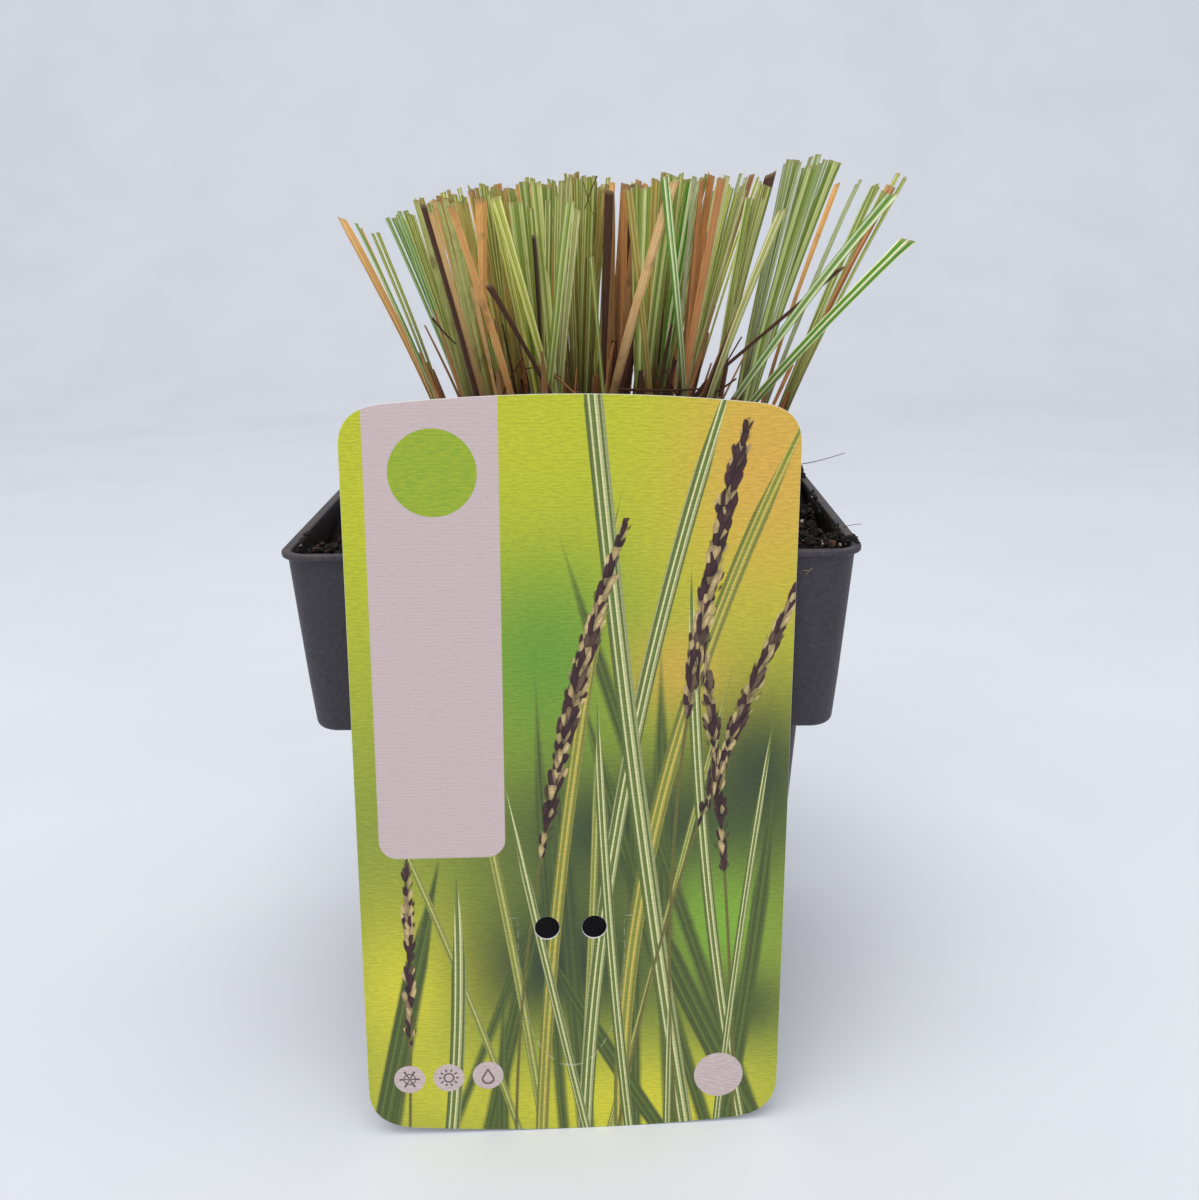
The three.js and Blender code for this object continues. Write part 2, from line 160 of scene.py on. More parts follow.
# Fans of leaves placed by draws. Foot, lean, bend and half width are the first leaf's, the step
# to the next and the draw's range. Tips are the heights in turn and their range.
Fan = namedtuple("Fan", "foot lean bend tips wide soft kind")
FAR_TIPS = [52] * 4 + [104] * 6
FAR_FAN = Fan((-38, 8.5, 5), (0.3, -0.06, 0.3), (0.0002, 0, 0), (FAR_TIPS, 44), (1.5, 0, 1.1), 0.9, "far")
NEAR_TIPS = [74, 83, 92, 101]
NEAR_BEND = (-0.00066, 0.00022, 0.0002)
NEAR_FAN = Fan((-10, 5, 3), (-0.28, 0.17, 0.06), NEAR_BEND, (NEAR_TIPS, 18), (0.9, 0, 0.6), 0.3, "middle")
FRONT_TIPS = [70, 92.371, 40.189, 87.353]
FRONT_BEND = (0.0002, 0.0001, 0.0004)
FRONT_FAN = Fan((4, 8, 2), (-0.2, 0.09, 0.05), FRONT_BEND, (FRONT_TIPS, 16), (0.85, 0, 0.5), 0.16, "cream")
# Leaves placed one by one: foot, lean, bend, height of the tip, half width, kind
FAR_LEAVES = [
    (41, -0.5, 0.0006, 62, 2.6, "far"),
    (22, -0.62, 0.0012, 44, 2.0, "far"),
    (-41, 0.2, 0.0003, 60, 2.2, "far"),
    (30, 0.14, -0.0004, 74, 1.7, "far"),
]
NEAR_LEAVES = [
    (2, 0.02, 0.0009, 158, 1.5, "cream"),
    (-7, 0.03, 0.0006, 132, 1.3, "gold"),
    (10, -0.05, 0.0017, 150, 1.6, "gold"),
    (24, -0.16, 0.0002, 170, 1.8, "cream"),
    (36, -0.2, 0.0007, 118, 1.2, "cream"),
    (-26, 0.12, -0.0011, 58, 1.5, "cream"),
]
LEAF_FOOT = -8  # every leaf and stem starts below the card's foot
# Flower spikes: foot, lean, bend, start and end of the grains, half width
SPIKES = [
    (-12, 0.0, 0.0012, 60, 128, 2.0),
    (8, 0.12, 0.0013, 66, 121, 1.6),
    (22, -0.12, 0.0012, 88, 146, 2.1),
    (33, -0.02, -0.0005, 56, 104, 1.5),
    (-34, 0.05, -0.0004, 20, 62, 1.2),
]
PANEL = {"middle": -25.3, "half": 12.1, "foot": 61, "corner": 3.6}
PANEL_DISC = (-25.1, 135.8, 8.0)
# Round signs: place and radius
FROST_SIGN = (-33.3, 12.6, 3.1)
SUN_SIGN = (-25.4, 12.7, 3.1)
DROP_SIGN = (-17.5, 13, 3.1)
BARE_SIGN = (29.5, 11.5, 5)
# The tongue stamped out under the holes, and the short cuts beside its top
TONGUE = {"middle": -0.5, "half": 10.5, "level": 38, "deep": 23.2, "top": 47.5}
SIDE_CUTS = {"up": 47.9, "across": 11.7}

# The tuft in millimetres, as the solids place it
CROWN_LEVEL = 122
CUT_LEVEL = 188
ROW_PITCH = 6
FIRST_ROW = -18
ROW_SPREAD = 1.1
OUTWARD_BOW = 0.2

# Its blades, in millimetres and radians: shares of a width or a length, and the draws' ranges
FOOT_SUNK = 1
FOOT_SHARE = 1.2 / 2.3  # a blade's width at its foot, of its width at the cut
DARK_NARROW = 0.6  # width of the front row's dark strip, of the solid's
FOLD_RANGE = 0.5
LIVE_BEND = (0.42, 0.7, 0.7)  # a blade's fold, and the ranges of its twist and its sway
DEAD_BEND = (0.55, 1.5, 1.1)
STRAY = {"tip_x": 0.8, "tip_y": 8, "tip_z": 2, "foot": 1.6, "facing": 2, "width": 0.3}
THIN_STRAY = {"tip_x": 1.5, "tip_y": 9, "tip_z": 2, "foot": 2, "facing": 3}
THIN_WIDE = (0.25, 0.55)
THIN_TALL = 0.6  # share of the thin blades that reach the cut
THIN_SHORT = (0.4, 0.95)
THIN_MATCHING = 0.6  # share of them in a finish of their own shoot
BROAD_WIDE = 1.05  # of the solid's blade
DRY_WIDE = (0.6, 1.05)
STRIPED_FACING = 0.3  # of the turn from the front that other blades have
SHEATH = {"high": (12, 30), "turned": 6.3, "sunk": 2, "wide": (2.0, 1.5), "end": 0.5, "apart": 0.3}
STUB = {"stray": 7, "sunk": 0.8, "shortest": 3, "aside": (0.05, 0.9), "wide": (0.7, 2.4), "thick": 0.12}
# Height of the tallest stubs: among the front shoots, among the rear ones and at the sides
STUB_TALLEST = {"front": 42, "rear": 30, "side": 12}
STUB_MIDDLE = (-18, 20)
DEAD_STALK = "dead_stalk_1e"
STALK_WIDE = 1.2
STALK_KINK = {"x": 26, "z": 146, "row": 1.5}  # above it the dead stalk slants into that row

# A shoot's seeds are the first ones and its place in the list, as in the solids
FIRST_SEED = 5000
FIRST_EXTRA_SEED = 900
SEEDS = {"litter": 31, "print": 77, "crown": 411, "crossing": 733}

# The camera, fitted to the photograph: place in millimetres, angles in degrees, focal length in
# pixels of the 1199 x 1200 frame
CAMERA_AT = (5.51, -284.08, 179.39)
CAMERA_DOWN = 16.63
CAMERA_YAW = -0.07
CAMERA_ROLL = -0.60
FOCAL_PIXELS = 1276.7
FRAME_WIDE = 1199
SENSOR = 36
CLIP_START = 10 * MM

# The stage, in metres
FLOOR_FRONT = -2.5
WALL_AT = 1.5
WALL_HIGH = 2.4
WALL_BEND = 0.6
STAGE_HALF = 3.0
LAMP_SIZE = 1.2
LAMP_AT = (-0.12, -0.55, 1.35)
LAMP_AIM = (0, 0, 0.08)

# Finishes of a blade, by the letter that the tuft's rows use: name, colour, and colour of its
# stripes or fibres
Finish = namedtuple("Finish", "name band stripe")
FINISHES = {
    "g": Finish("green", "#8a993a", "#dadb90"),
    "y": Finish("lime", "#b0b83c", "#e8e690"),
    "b": Finish("blue_green", "#6f9a46", "#c6d898"),
    "s": Finish("grey_green", "#94a766", "#dde2b8"),
    "p": Finish("pale", "#a8ad5e", "#dcd99e"),
    "v": Finish("variegated", "#5f972c", "#ecf1bc"),
    "w": Finish("broad", "#82973f", "#cdd48a"),
    "e": Finish("olive", "#a08c3c", "#c8b668"),
    "t": Finish("tan", "#d2a060", "#e8c48a"),
    "o": Finish("orange", "#dc9a4e", "#f0bd7a"),
    "r": Finish("russet", "#a8663a", "#cf955e"),
    "d": Finish("brown", "#8e6040", "#b38858"),
    "k": Finish("dark", "#36241d", "#5d3e30"),
}
GREEN_FINISHES = "gybspvwe"
BROAD_FINISHES = "vw"  # a leaf that keeps the whole width of the solids' blade
STRAY_FINISHES = "edytk"  # of the thinner blades that don't match their shoot
SHEATH_FINISHES = "rdk"
STUB_FINISHES = "rdkkd"
Look = namedtuple("Look", "dead colours")  # of one blade

# The tuft, row by row from the front, left to right: name, row, place at the crown, places of
# the outermost cut tips, cut heights there, finish of each blade, width of a blade
Shoot = namedtuple("Shoot", "name row x tips heights finishes wide")
TUFT = [
    Shoot("dry_tiller_1a", 1, -14, (-26.5, -19.5), (181.5, 183), "kge", 2.3),
    Shoot("green_tiller_1b", 1, -5, (-13.5, 1), (183.5, 182), "ywggp", 2.4),
    Shoot("dry_tiller_1c", 1, 3, (20, 20), (185.5, 185.5), "t", 2.4),
    Shoot("green_tiller_1d", 1, 21, (60.5, 65), (182.5, 174.5), "vv", 2.6),
    Shoot("dry_tiller_2a", 2, -18, (-28.5, -17), (182.5, 184), "gwo", 2.5),
    Shoot("green_tiller_2b", 2, -5, (-11.5, -1), (185.5, 186.5), "gwywp", 2.3),
    Shoot("old_culm_2c", 2, 6.5, (8, 8), (185.5, 185.5), "k", 2.4),
    Shoot("green_tiller_2d", 2, 14, (13, 20), (185, 187), "gwew", 2.4),
    Shoot("dry_tiller_2e", 2, 20.5, (25, 29.5), (187, 187), "srp", 2.3),
    Shoot("green_tiller_2f", 2, 26.5, (35, 38.5), (182, 184.5), "wpg", 2.4),
    Shoot("green_tiller_2g", 2, 32.5, (42.5, 47.5), (189.5, 189.5), "swsws", 2.4),
    Shoot("green_tiller_3a", 3, -18, (-35, -29), (181, 182.5), "bgyg", 2.3),
    Shoot("green_tiller_3b", 3, -11, (-24.5, -14.5), (184.5, 185.5), "gyege", 2.3),
    Shoot("dry_tiller_3c", 3, -4.5, (-10, -5), (185.5, 186.5), "oto", 2.3),
    Shoot("green_tiller_3d", 3, 2, (-0.5, 4), (187, 187), "gegg", 2.2),
    Shoot("dry_tiller_3e", 3, 9, (8.5, 14), (184.5, 186), "drd", 2.3),
    Shoot("green_tiller_3f", 3, 16, (18.5, 28), (186.5, 188), "ggvg", 2.3),
    Shoot("dead_stalk_1e", 1, 15, (53.1, 53.1), (170.1, 170.1), "k", 1.4),
    Shoot("green_tiller_4a", 4, -19, (-38.5, -34), (180.5, 182), "bbg", 2.4),
    Shoot("dry_tiller_4b", 4, -12.5, (-29.5, -22), (184, 185), "tdo", 2.2),
    Shoot("green_tiller_4c", 4, -6, (-17.5, -9), (185.5, 186.5), "gegy", 2.3),
    Shoot("green_tiller_4d", 4, 0.5, (-4, 7), (186.5, 186.5), "gegge", 2.2),
    Shoot("dry_tiller_4e", 4, 7.5, (11.5, 15), (186.5, 186.5), "dkr", 2.1),
    Shoot("green_tiller_4f", 4, 14.5, (19.5, 26.5), (187, 187), "gegp", 2.2),
    Shoot("green_tiller_4g", 4, 21.5, (31, 37), (185, 185), "pygp", 2.2),
    Shoot("dry_tiller_4h", 4, 28, (42.5, 42.5), (187.5, 187.5), "k", 2.3),
    Shoot("green_tiller_4i", 4, 34, (52.5, 56), (190.5, 190.5), "sw", 2.3),
    Shoot("green_tiller_4j", 4, 40.5, (64, 70), (185.5, 186.5), "wgrg", 2.3),
    Shoot("green_stray_5a", 5, -25, (-51.5, -44), (180.5, 177), "tbg", 2.3),
    Shoot("green_tiller_5b", 5, -18, (-34.5, -28), (182.5, 184.5), "gegy", 2.3),
    Shoot("dry_tiller_5c", 5, -11.5, (-22, -17), (186, 186), "dor", 2.3),
    Shoot("green_tiller_5d", 5, -5, (-12, -5), (186.5, 187), "geye", 2.3),
    Shoot("green_tiller_5e", 5, 1.5, (0.5, 7.5), (187, 186.5), "eegg", 2.3),
    Shoot("dry_tiller_5f", 5, 8.5, (12.5, 17), (186.5, 186.5), "rtd", 2.3),
    Shoot("green_tiller_5g", 5, 15.5, (22, 30), (187, 186.5), "egyg", 2.3),
    Shoot("dry_tiller_5h", 5, 38, (59, 63), (186.5, 187.5), "os", 2.0),
    Shoot("green_tiller_6a", 6, -14, (-33, -24), (184, 186), "gbeyg", 2.3),
    Shoot("dry_tiller_6b", 6, -7, (-18.5, -11), (186, 187), "tdr", 2.3),
    Shoot("green_tiller_6c", 6, 0, (-6, 4.5), (187, 187.5), "gegye", 2.3),
    Shoot("dry_tiller_6d", 6, 7, (9.5, 15.5), (187, 187), "otd", 2.3),
    Shoot("green_tiller_6e", 6, 14, (21, 29), (187.5, 187.5), "gyeg", 2.3),
    Shoot("green_tiller_6f", 6, 22, (35, 43), (187.5, 188.5), "gsy", 2.3),
    Shoot("green_tiller_7a", 7, -10, (-27, -17), (184, 186), "bgye", 2.3),
    Shoot("dry_tiller_7b", 7, -3, (-12, -5), (186, 187), "dto", 2.3),
    Shoot("green_tiller_7c", 7, 4, (0.5, 9), (187, 187), "gyeg", 2.3),
    Shoot("dry_tiller_7d", 7, 11, (14.5, 20.5), (187, 187), "trd", 2.3),
    Shoot("green_tiller_7e", 7, 18, (27, 36), (187, 188), "egyg", 2.3),
]

# Twigs and hairs, in millimetres: start, end, rise between them, thickness and finish
TWIGS = [
    ((9.5, -27.5, 146.7), (26.1, -27.5, 146.6), -0.3, 0.4, "k"),
    ((22, -26, 142), (33, -27, 148.5), -0.5, 0.36, "k"),
    ((18.2, -27, 151.5), (21.5, -26.5, 144), 0.4, 0.32, "k"),
    ((-26.8, -30, 161.2), (-22.5, -29, 156), -0.3, 0.3, "k"),
    ((-15, -27, 143), (-9.5, -27, 153), 0.8, 0.26, "k"),
    ((-4, -27.5, 150), (4, -27, 142), 0.5, 0.3, "r"),
    ((-9, -28, 151), (-2, -27, 149), 0.9, 0.18, "k"),
    ((47.2, -6, 149), (37, -4, 126), -0.6, 0.5, "r"),
    ((50, 36, 118.6), (68, 38, 121.6), -0.7, 0.17, "k"),
    ((48, 20, 119), (53, 30, 121.5), 1.2, 0.09, "d"),
    ((53, -36, 119.5), (57.4, -38, 121), 0.3, 0.09, "k"),
    ((43.4, -54.3, 116.1), (44.3, -54.3, 116.1), 0.04, 0.08, "p"),
    ((45.1, -54.35, 116.6), (43.9, -54.25, 115.3), 0.2, 0.09, "p"),
    ((-44, 20, 117), (-50, 6, 119), 1.5, 0.1, "t"),
    ((5.6, -38, 186.9), (3.2, -37, 181), 0.3, 0.12, "k"),
    ((3.0, -38, 186), (4.8, -37, 180), -0.2, 0.1, "k"),
]

# Loose blades in front of the first row, in millimetres: place at the crown, cut tip, width, finish
CROSSING_FOOT_Y = -20
CROSSING = {
    "green": [
        (1.1, (-13, -40, 183.2), 2.0, "y"),
        (-7.8, (0.5, -42, 182.4), 1.9, "w"),
        (24.6, (17.9, -41, 186.6), 1.8, "v"),
        (21.9, (39.4, -40, 180.6), 1.8, "p"),
        (-2.7, (-5.4, -38.5, 185.8), 2.2, "g"),
        (18, (11.3, -39, 184.3), 1.5, "e"),
        (8.1, (4.3, -40, 172.5), 0.9, "g"),
    ],
    "dry": [
        (-7.5, (-21, -41.5, 181.9), 1.7, "o"),
        (-13.1, (-25.4, -39.5, 180.8), 1.7, "t"),
        (-15.6, (-26.3, -40.5, 182.3), 1.2, "k"),
        (6.2, (-15.1, -37, 167.7), 1.3, "k"),
        (20.1, (28.4, -39.5, 186.2), 1.7, "r"),
    ],
}


# Numbers and draws


def mix(start, end, share):
    return start + (end - start) * share


def draws(seed):
    """Numbers between 0 and 1 in an order fixed by the seed, the same as the solids' own."""
    mask = 0xFFFFFFFF
    state = seed & mask

    def draw():
        nonlocal state
        state = (state + 0x6D2B79F5) & mask
        mixed = ((state ^ (state >> 15)) * (state | 1)) & mask
        mixed ^= (mixed + (mixed ^ (mixed >> 7)) * (mixed | 61)) & mask
        return ((mixed ^ (mixed >> 14)) & mask) / 4294967296

    return draw


def about(draw, middle, range_):
    """A draw spread evenly over a range about its middle."""
    return middle + (draw() - 0.5) * range_


def pick(draw, choices):
    return choices[int(draw() * len(choices))]


def linear(code):
    """The linear colour of a hexadecimal screen colour such as #3a383b."""
    shares = [int(code[i : i + 2], 16) / 255 for i in (1, 3, 5)]
    return tuple(c / 12.92 if c < 0.04045 else ((c + 0.055) / 1.055) ** 2.4 for c in shares)


# Meshes


class Shell:
    """Closed solids gathered into one mesh. Each mark gives every point three numbers for the
    shaders."""

    def __init__(self, *marks):
        self.points = []
        self.faces = []
        self.count = 0
        self.marks = {name: [] for name in marks}

    def add(self, points, faces, **marks):
        points = np.asarray(points, float).reshape(-1, 3)
        self.points.append(points)
        self.faces.extend([tuple(i + self.count for i in face) for face in faces])
        for name, value in marks.items():
            self.marks[name].append(np.broadcast_to(np.asarray(value, float), (len(points), 3)))
        self.count += len(points)

    def loft(self, rings, **marks):
        """A closed skin through rings of points, capped with strips across both ends."""
        rings = np.asarray(rings, float)
        rows, around = rings.shape[:2]
        faces = []
        for r in range(rows - 1):
            for i in range(around):
                after = (i + 1) % around
                low, high = r * around, (r + 1) * around
                faces.append((low + i, low + after, high + after, high + i))
        last = (rows - 1) * around
        for i in range(around // 2 - 1):
            far = around - 1 - i
            faces.append((i, far, far - 1, i + 1))
            faces.append((last + i, last + i + 1, last + far - 1, last + far))
        self.add(rings, faces, **marks)

    def mesh(self, name):
        mesh = bpy.data.meshes.new(name)
        mesh.from_pydata(np.concatenate(self.points), [], self.faces)
        return mesh

    def piece(self, name, *materials, sharp=40):
        """The finished object, riding on the part's one body."""
        mesh = self.mesh(name)
        for mark, values in self.marks.items():
            layer = mesh.attributes.new(mark, "FLOAT_VECTOR", "POINT")
            layer.data.foreach_set("vector", np.concatenate(values).astype(np.float32).ravel())
        mesh.validate()
        return place(name, mesh, *materials, sharp=sharp)


def add_object(name, data):
    """Puts an object made of a mesh, curve, lamp or lens in the scene."""
    made = bpy.data.objects.new(name, data)
    bpy.context.scene.collection.objects.link(made)
    return made


def evaluated_mesh(made):
    """The mesh that an object's modifiers or curve come to."""
    return bpy.data.meshes.new_from_object(made.evaluated_get(bpy.context.evaluated_depsgraph_get()))


def place(name, mesh, *materials, sharp=40):
    """Puts a mesh in the scene as a piece of the part, shaded smooth but for its sharp edges."""
    for material in materials:
        mesh.materials.append(material)
    mesh.shade_smooth()
    mesh.set_sharp_from_angle(angle=math.radians(sharp))
    piece = add_object(name, mesh)
    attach(piece, "root")
    return piece


def rounded_square(half, corner, steps=10, along=5):
    """Points round a square with rounded corners, its sides split for a finer surface."""
    points = []
    middle = half - corner
    for quarter in range(4):
        for i in range(steps + 1):
            turn = (quarter + i / steps) * math.pi / 2
            sign_x = 1 if quarter in (0, 3) else -1
            sign_y = 1 if quarter < 2 else -1
            x = sign_x * middle + corner * math.cos(turn)
            y = sign_y * middle + corner * math.sin(turn)
            points.append((x, y))
        start = np.array(points[-1])
        step = 2 * middle / along * np.array([-math.sin(turn), math.cos(turn)])
        points.extend(tuple(start + step * i) for i in range(1, along))
    return points


def ring_at(z, half, corner, steps=10, along=5):
    return [(x, y, z) for x, y in rounded_square(half, corner, steps, along)]


def tube(shell, path, radii, sides, **marks):
    """A round or flattened solid along a path of points, thinning as the radii say."""
    path = np.asarray(path, float)
    ways = np.gradient(path, axis=0)
    ways /= np.linalg.norm(ways, axis=1)[:, None]
    side = np.cross(ways, [0.31, 0.22, 0.92])
    side /= np.linalg.norm(side, axis=1)[:, None]
    other = np.cross(ways, side)
    turns = np.arange(sides) * 2 * math.pi / sides
    wide, thick = np.broadcast_to(np.asarray(radii, float), (len(path), 2)).T
    rings = (
        path[:, None]
        + wide[:, None, None] * np.cos(turns)[None, :, None] * side[:, None]
        + thick[:, None, None] * np.sin(turns)[None, :, None] * other[:, None]
    )
    shell.loft(rings, **marks)


# Shader maths


class Link:
    """One output socket, so that maths on it reads as plain arithmetic."""

    def __init__(self, shading, socket):
        self.shading = shading
        self.socket = socket

    def maths(self, operation, other=0.0, swapped=False):
        first, second = (other, self) if swapped else (self, other)
        wide = self.socket.type in ("VECTOR", "RGBA")
        node = "ShaderNodeVectorMath" if wide else "ShaderNodeMath"
        if wide:
            first, second = [(v,) * 3 if isinstance(v, (int, float)) else v for v in (first, second)]
        return self.shading.add(node, {"operation": operation}, {0: first, 1: second})

    def __add__(self, other):
        return self.maths("ADD", other)

    def __sub__(self, other):
        return self.maths("SUBTRACT", other)

    def __rsub__(self, other):
        return self.maths("SUBTRACT", other, swapped=True)

    def __mul__(self, other):
        return self.maths("MULTIPLY", other)

    def __truediv__(self, other):
        return self.maths("DIVIDE", other)

    def __rtruediv__(self, other):
        return self.maths("DIVIDE", other, swapped=True)

    def __pow__(self, other):
        return self.maths("POWER", other)

    def __rpow__(self, other):
        return self.maths("POWER", other, swapped=True)

    def __abs__(self):
        return self.maths("ABSOLUTE")

    def __neg__(self):
        return self.maths("MULTIPLY", -1.0)

    __radd__ = __add__
    __rmul__ = __mul__

    def sine(self):
        return self.maths("SINE")

    def exp(self):
        return self.maths("EXPONENT")

    def least(self, other):
        return self.maths("MINIMUM", other)

    def most(self, other):
        return self.maths("MAXIMUM", other)

    def held(self):
        """Kept between 0 and 1."""
        return self.shading.add("ShaderNodeClamp", {}, {0: self})

    def smooth(self, low, high):
        """0 below low and 1 above high, with a soft step between."""
        settings = {"interpolation_type": "SMOOTHSTEP"}
        return self.shading.add("ShaderNodeMapRange", settings, {0: self, 1: low, 2: high})

    def parts(self):
        """The three numbers of a vector."""
        node = self.shading.node("ShaderNodeSeparateXYZ", {}, {0: self})
        return [Link(self.shading, socket) for socket in node.outputs]


class Shading:
    """One procedural material and the nodes that it is made of."""

    def __init__(self, name):
        self.material = bpy.data.materials.new(name)
        self.material.use_nodes = True
        self.tree = self.material.node_tree
        self.surface = next(n for n in self.tree.nodes if n.type == "BSDF_PRINCIPLED")

    def node(self, kind, settings, inputs):
        made = self.tree.nodes.new(kind)
        for name, value in settings.items():
            setattr(made, name, value)
        for key, value in inputs.items():
            self.feed(made.inputs[key], value)
        return made

    def add(self, kind, settings, inputs, out=0):
        return Link(self, self.node(kind, settings, inputs).outputs[out])

    def feed(self, socket, value):
        """Links an output to the socket, or sets its own value."""
        if isinstance(value, Link):
            self.tree.links.new(value.socket, socket)
        elif socket.type == "RGBA":
            socket.default_value = (*value, 1.0)
        else:
            socket.default_value = value

    def mark(self, name):
        settings = {"attribute_type": "GEOMETRY", "attribute_name": name}
        return self.add("ShaderNodeAttribute", settings, {}, out="Vector")

    def place(self):
        return self.add("ShaderNodeTexCoord", {}, {}, out="Object")

    def facing(self):
        """The surface's own direction, in the part's frame."""
        return self.add("ShaderNodeNewGeometry", {}, {}, out="Normal")

    def vector(self, x, y, z):
        return self.add("ShaderNodeCombineXYZ", {}, {0: x, 1: y, 2: z})

    def noise(self, where, scale, detail=2.0, rough=0.5):
        inputs = {"Vector": where, "Scale": scale, "Detail": detail, "Roughness": rough}
        return self.add("ShaderNodeTexNoise", {}, inputs)

    def cells(self, where, scale, out=0):
        return self.add("ShaderNodeTexVoronoi", {}, {"Vector": where, "Scale": scale}, out)

    def blend(self, first, second, share):
        """The first colour, turning into the second as share goes from 0 to 1."""
        return self.add("ShaderNodeMix", {"data_type": "RGBA"}, {0: share, 6: first, 7: second}, 2)

    def finish(self, colour, roughness, height=None, relief=0.1 * MM, specular=0.5):
        """Links what varies to the surface, sets what doesn't, and returns the material."""
        self.feed(self.surface.inputs["Base Color"], colour)
        self.feed(self.surface.inputs["Roughness"], roughness)
        if height is not None:
            inputs = {"Height": height, "Distance": relief, "Strength": 1.0}
            self.feed(self.surface.inputs["Normal"], self.add("ShaderNodeBump", {}, inputs))
        self.feed(self.surface.inputs["Specular IOR Level"], specular)
        return self.material


# Finishes


def pot_plastic(pot):
    """Dull moulded plastic with a fine stipple, dusted with dry soil on its upper faces, its rim lightened
    by a painted highlight and its inside wall darkened by painted shade.
    """
    shade = Shading("pot_plastic")
    where = shade.place()
    x, y, z = where.parts()
    up = shade.facing().parts()[2]
    stipple = shade.noise(where, 1300, 3, 0.7)
    cloud = shade.noise(where, 28, 4, 0.6)
    streaks = shade.noise(where * (1.0, 1.0, 0.12), 160, 3, 0.6)
    grain = (stipple - 0.5) * 1.5 + (cloud - 0.5) * 0.25 + (streaks - 0.5) * 0.12 + 0.5
    colour = shade.blend(pot.shade_colour, pot.colour, grain.held())
    # Painted highlight: the rim band is lightened towards the dust colour, together with the real dust lying
    # on upper faces
    rim = z.smooth(POT_HEIGHT - 2.5 * MM, POT_HEIGHT - 0.5 * MM)
    patchy = shade.noise(where, 120, 4, 0.7).smooth(0.35, 0.75)
    dust_and_rim_highlight = up.smooth(0.35, 0.95) * 0.45 + rim * 0.16
    specks = shade.noise(where, 900, 2, 0.7).smooth(0.66, 0.74)
    low = (1 - z.smooth(0.0, 10 * MM)) * 0.25
    dust_and_highlight = ((dust_and_rim_highlight + low) * patchy + specks * 0.25).held()
    colour = shade.blend(colour, pot.dust_and_highlight_colour, dust_and_highlight)
    # Painted shade with some caked soil: the wall's inward faces darken almost to black, blotched, less so
    # at the rim's top
    nx, ny, _ = shade.facing().parts()
    inward = (x * nx + y * ny).smooth(-0.01, -0.03)
    caked = shade.noise(where, 240, 4, 0.7).smooth(0.3, 0.5)
    above = 1 - z.smooth(POT_HEIGHT - 2 * MM, POT_HEIGHT - 0.5 * MM) * 0.7
    colour = shade.blend(colour, pot.grime_and_shade_colour, inward * (caked * 0.25 + 0.72) * above)
    roughness = 0.52 + dust_and_highlight * 0.3 + (cloud - 0.5) * 0.15
    height = stipple * 0.7 + shade.noise(where, 420, 2, 0.5) * 0.5
    return shade.finish(colour, roughness, height, 0.11 * MM, specular=0.4)


def potting_soil(soil):
    """Moist dark peat with paler crumbs and a few wet glints."""
    shade = Shading("potting_soil")
    where = shade.place()
    coarse = shade.noise(where, 260, 5, 0.65)
    fine = shade.noise(where, 1400, 4, 0.7)
    colour = shade.blend(soil.dark_colour, soil.colour, coarse.smooth(0.3, 0.75))
    colour = shade.blend(colour, soil.fleck_colour, (fine.smooth(0.6, 0.72) * 0.35).held())
    roughness = 0.95 - coarse.smooth(0.55, 0.75) * 0.35
    return shade.finish(colour, roughness, coarse + fine * 0.4, 0.35 * MM, specular=0.18)


def tinted(name):
    """Crumbs, bark, grains and fibres: each one's own tint, finely mottled."""
    shade = Shading(name)
    tint = shade.mark("tint")
    where = shade.place()
    fine = shade.noise(where, 1500, 4, 0.7)
    cloud = shade.noise(where, 300, 3, 0.6)
    colour = tint * (0.55 + fine * 0.6 + cloud * 0.3)
    return shade.finish(colour, 0.8, fine + cloud, 0.08 * MM)


def leaf(tuft, name, green):
    """A cut blade, in its own two colours: broad soft stripes on live leaf, fibres on dead."""
    shade = Shading(name)
    across, along, seed = shade.mark("blade").parts()
    band = shade.mark("band")
    stripe_colour = shade.mark("stripe")
    where = shade.place()
    drift = shade.noise(shade.vector(along * 2.2, seed * 91, 0.0), 1.0, 2)
    lane = across * (3.6 + seed * 3.4) + seed * 57 + drift * 3
    veins = (across * 34 + seed * 80 + drift * 2).sine() * 0.5 + 0.5
    fibres = shade.noise(shade.vector(across * 5, along * 7, seed * 77), 2.0, 4, 0.7)
    blotch = shade.noise(where, 130, 3, 0.6)
    if green:
        stripe = lane.sine().smooth(-0.25, 0.75)
        colour = shade.blend(band, stripe_colour, stripe)
        rib = (1 - abs(across).smooth(0.03, 0.16)) * 0.35
        colour = shade.blend(colour, stripe_colour, rib)
        worn = (blotch.smooth(0.62, 0.8) * 0.45 + fibres.smooth(0.66, 0.8) * 0.3).held()
        colour = shade.blend(colour, tuft.wear_colour, worn)
    else:
        colour = shade.blend(band, stripe_colour, (fibres.smooth(0.3, 0.7) + veins * 0.25).held())
        worn = (blotch.smooth(0.55, 0.75) * 0.5).held()
        colour = shade.blend(colour, tuft.stain_colour, worn)
    furrows = (lane * 2.3 + seed * 19).sine().smooth(0.45, 0.95) * (0.52 if green else 0.2)
    colour = colour * (1.21 + veins * 0.2 + (blotch - 0.5) * 0.3 - furrows)
    reach = seed * 0.5 + 0.36
    foot = (1 - (along / reach).smooth(0.2, 1.0)) * 0.95
    colour = shade.blend(colour, tuft.foot_colour, (foot * (0.6 + fibres * 0.8)).held())
    cut = along.smooth(0.985, 0.998) * 0.45
    colour = shade.blend(colour, tuft.cut_colour, cut)
    roughness = 0.5 + fibres * 0.25 + foot * 0.1
    height = veins * 0.6 + fibres * 0.8
    return shade.finish(colour, roughness, height, 0.06 * MM, specular=0.4 if green else 0.22)


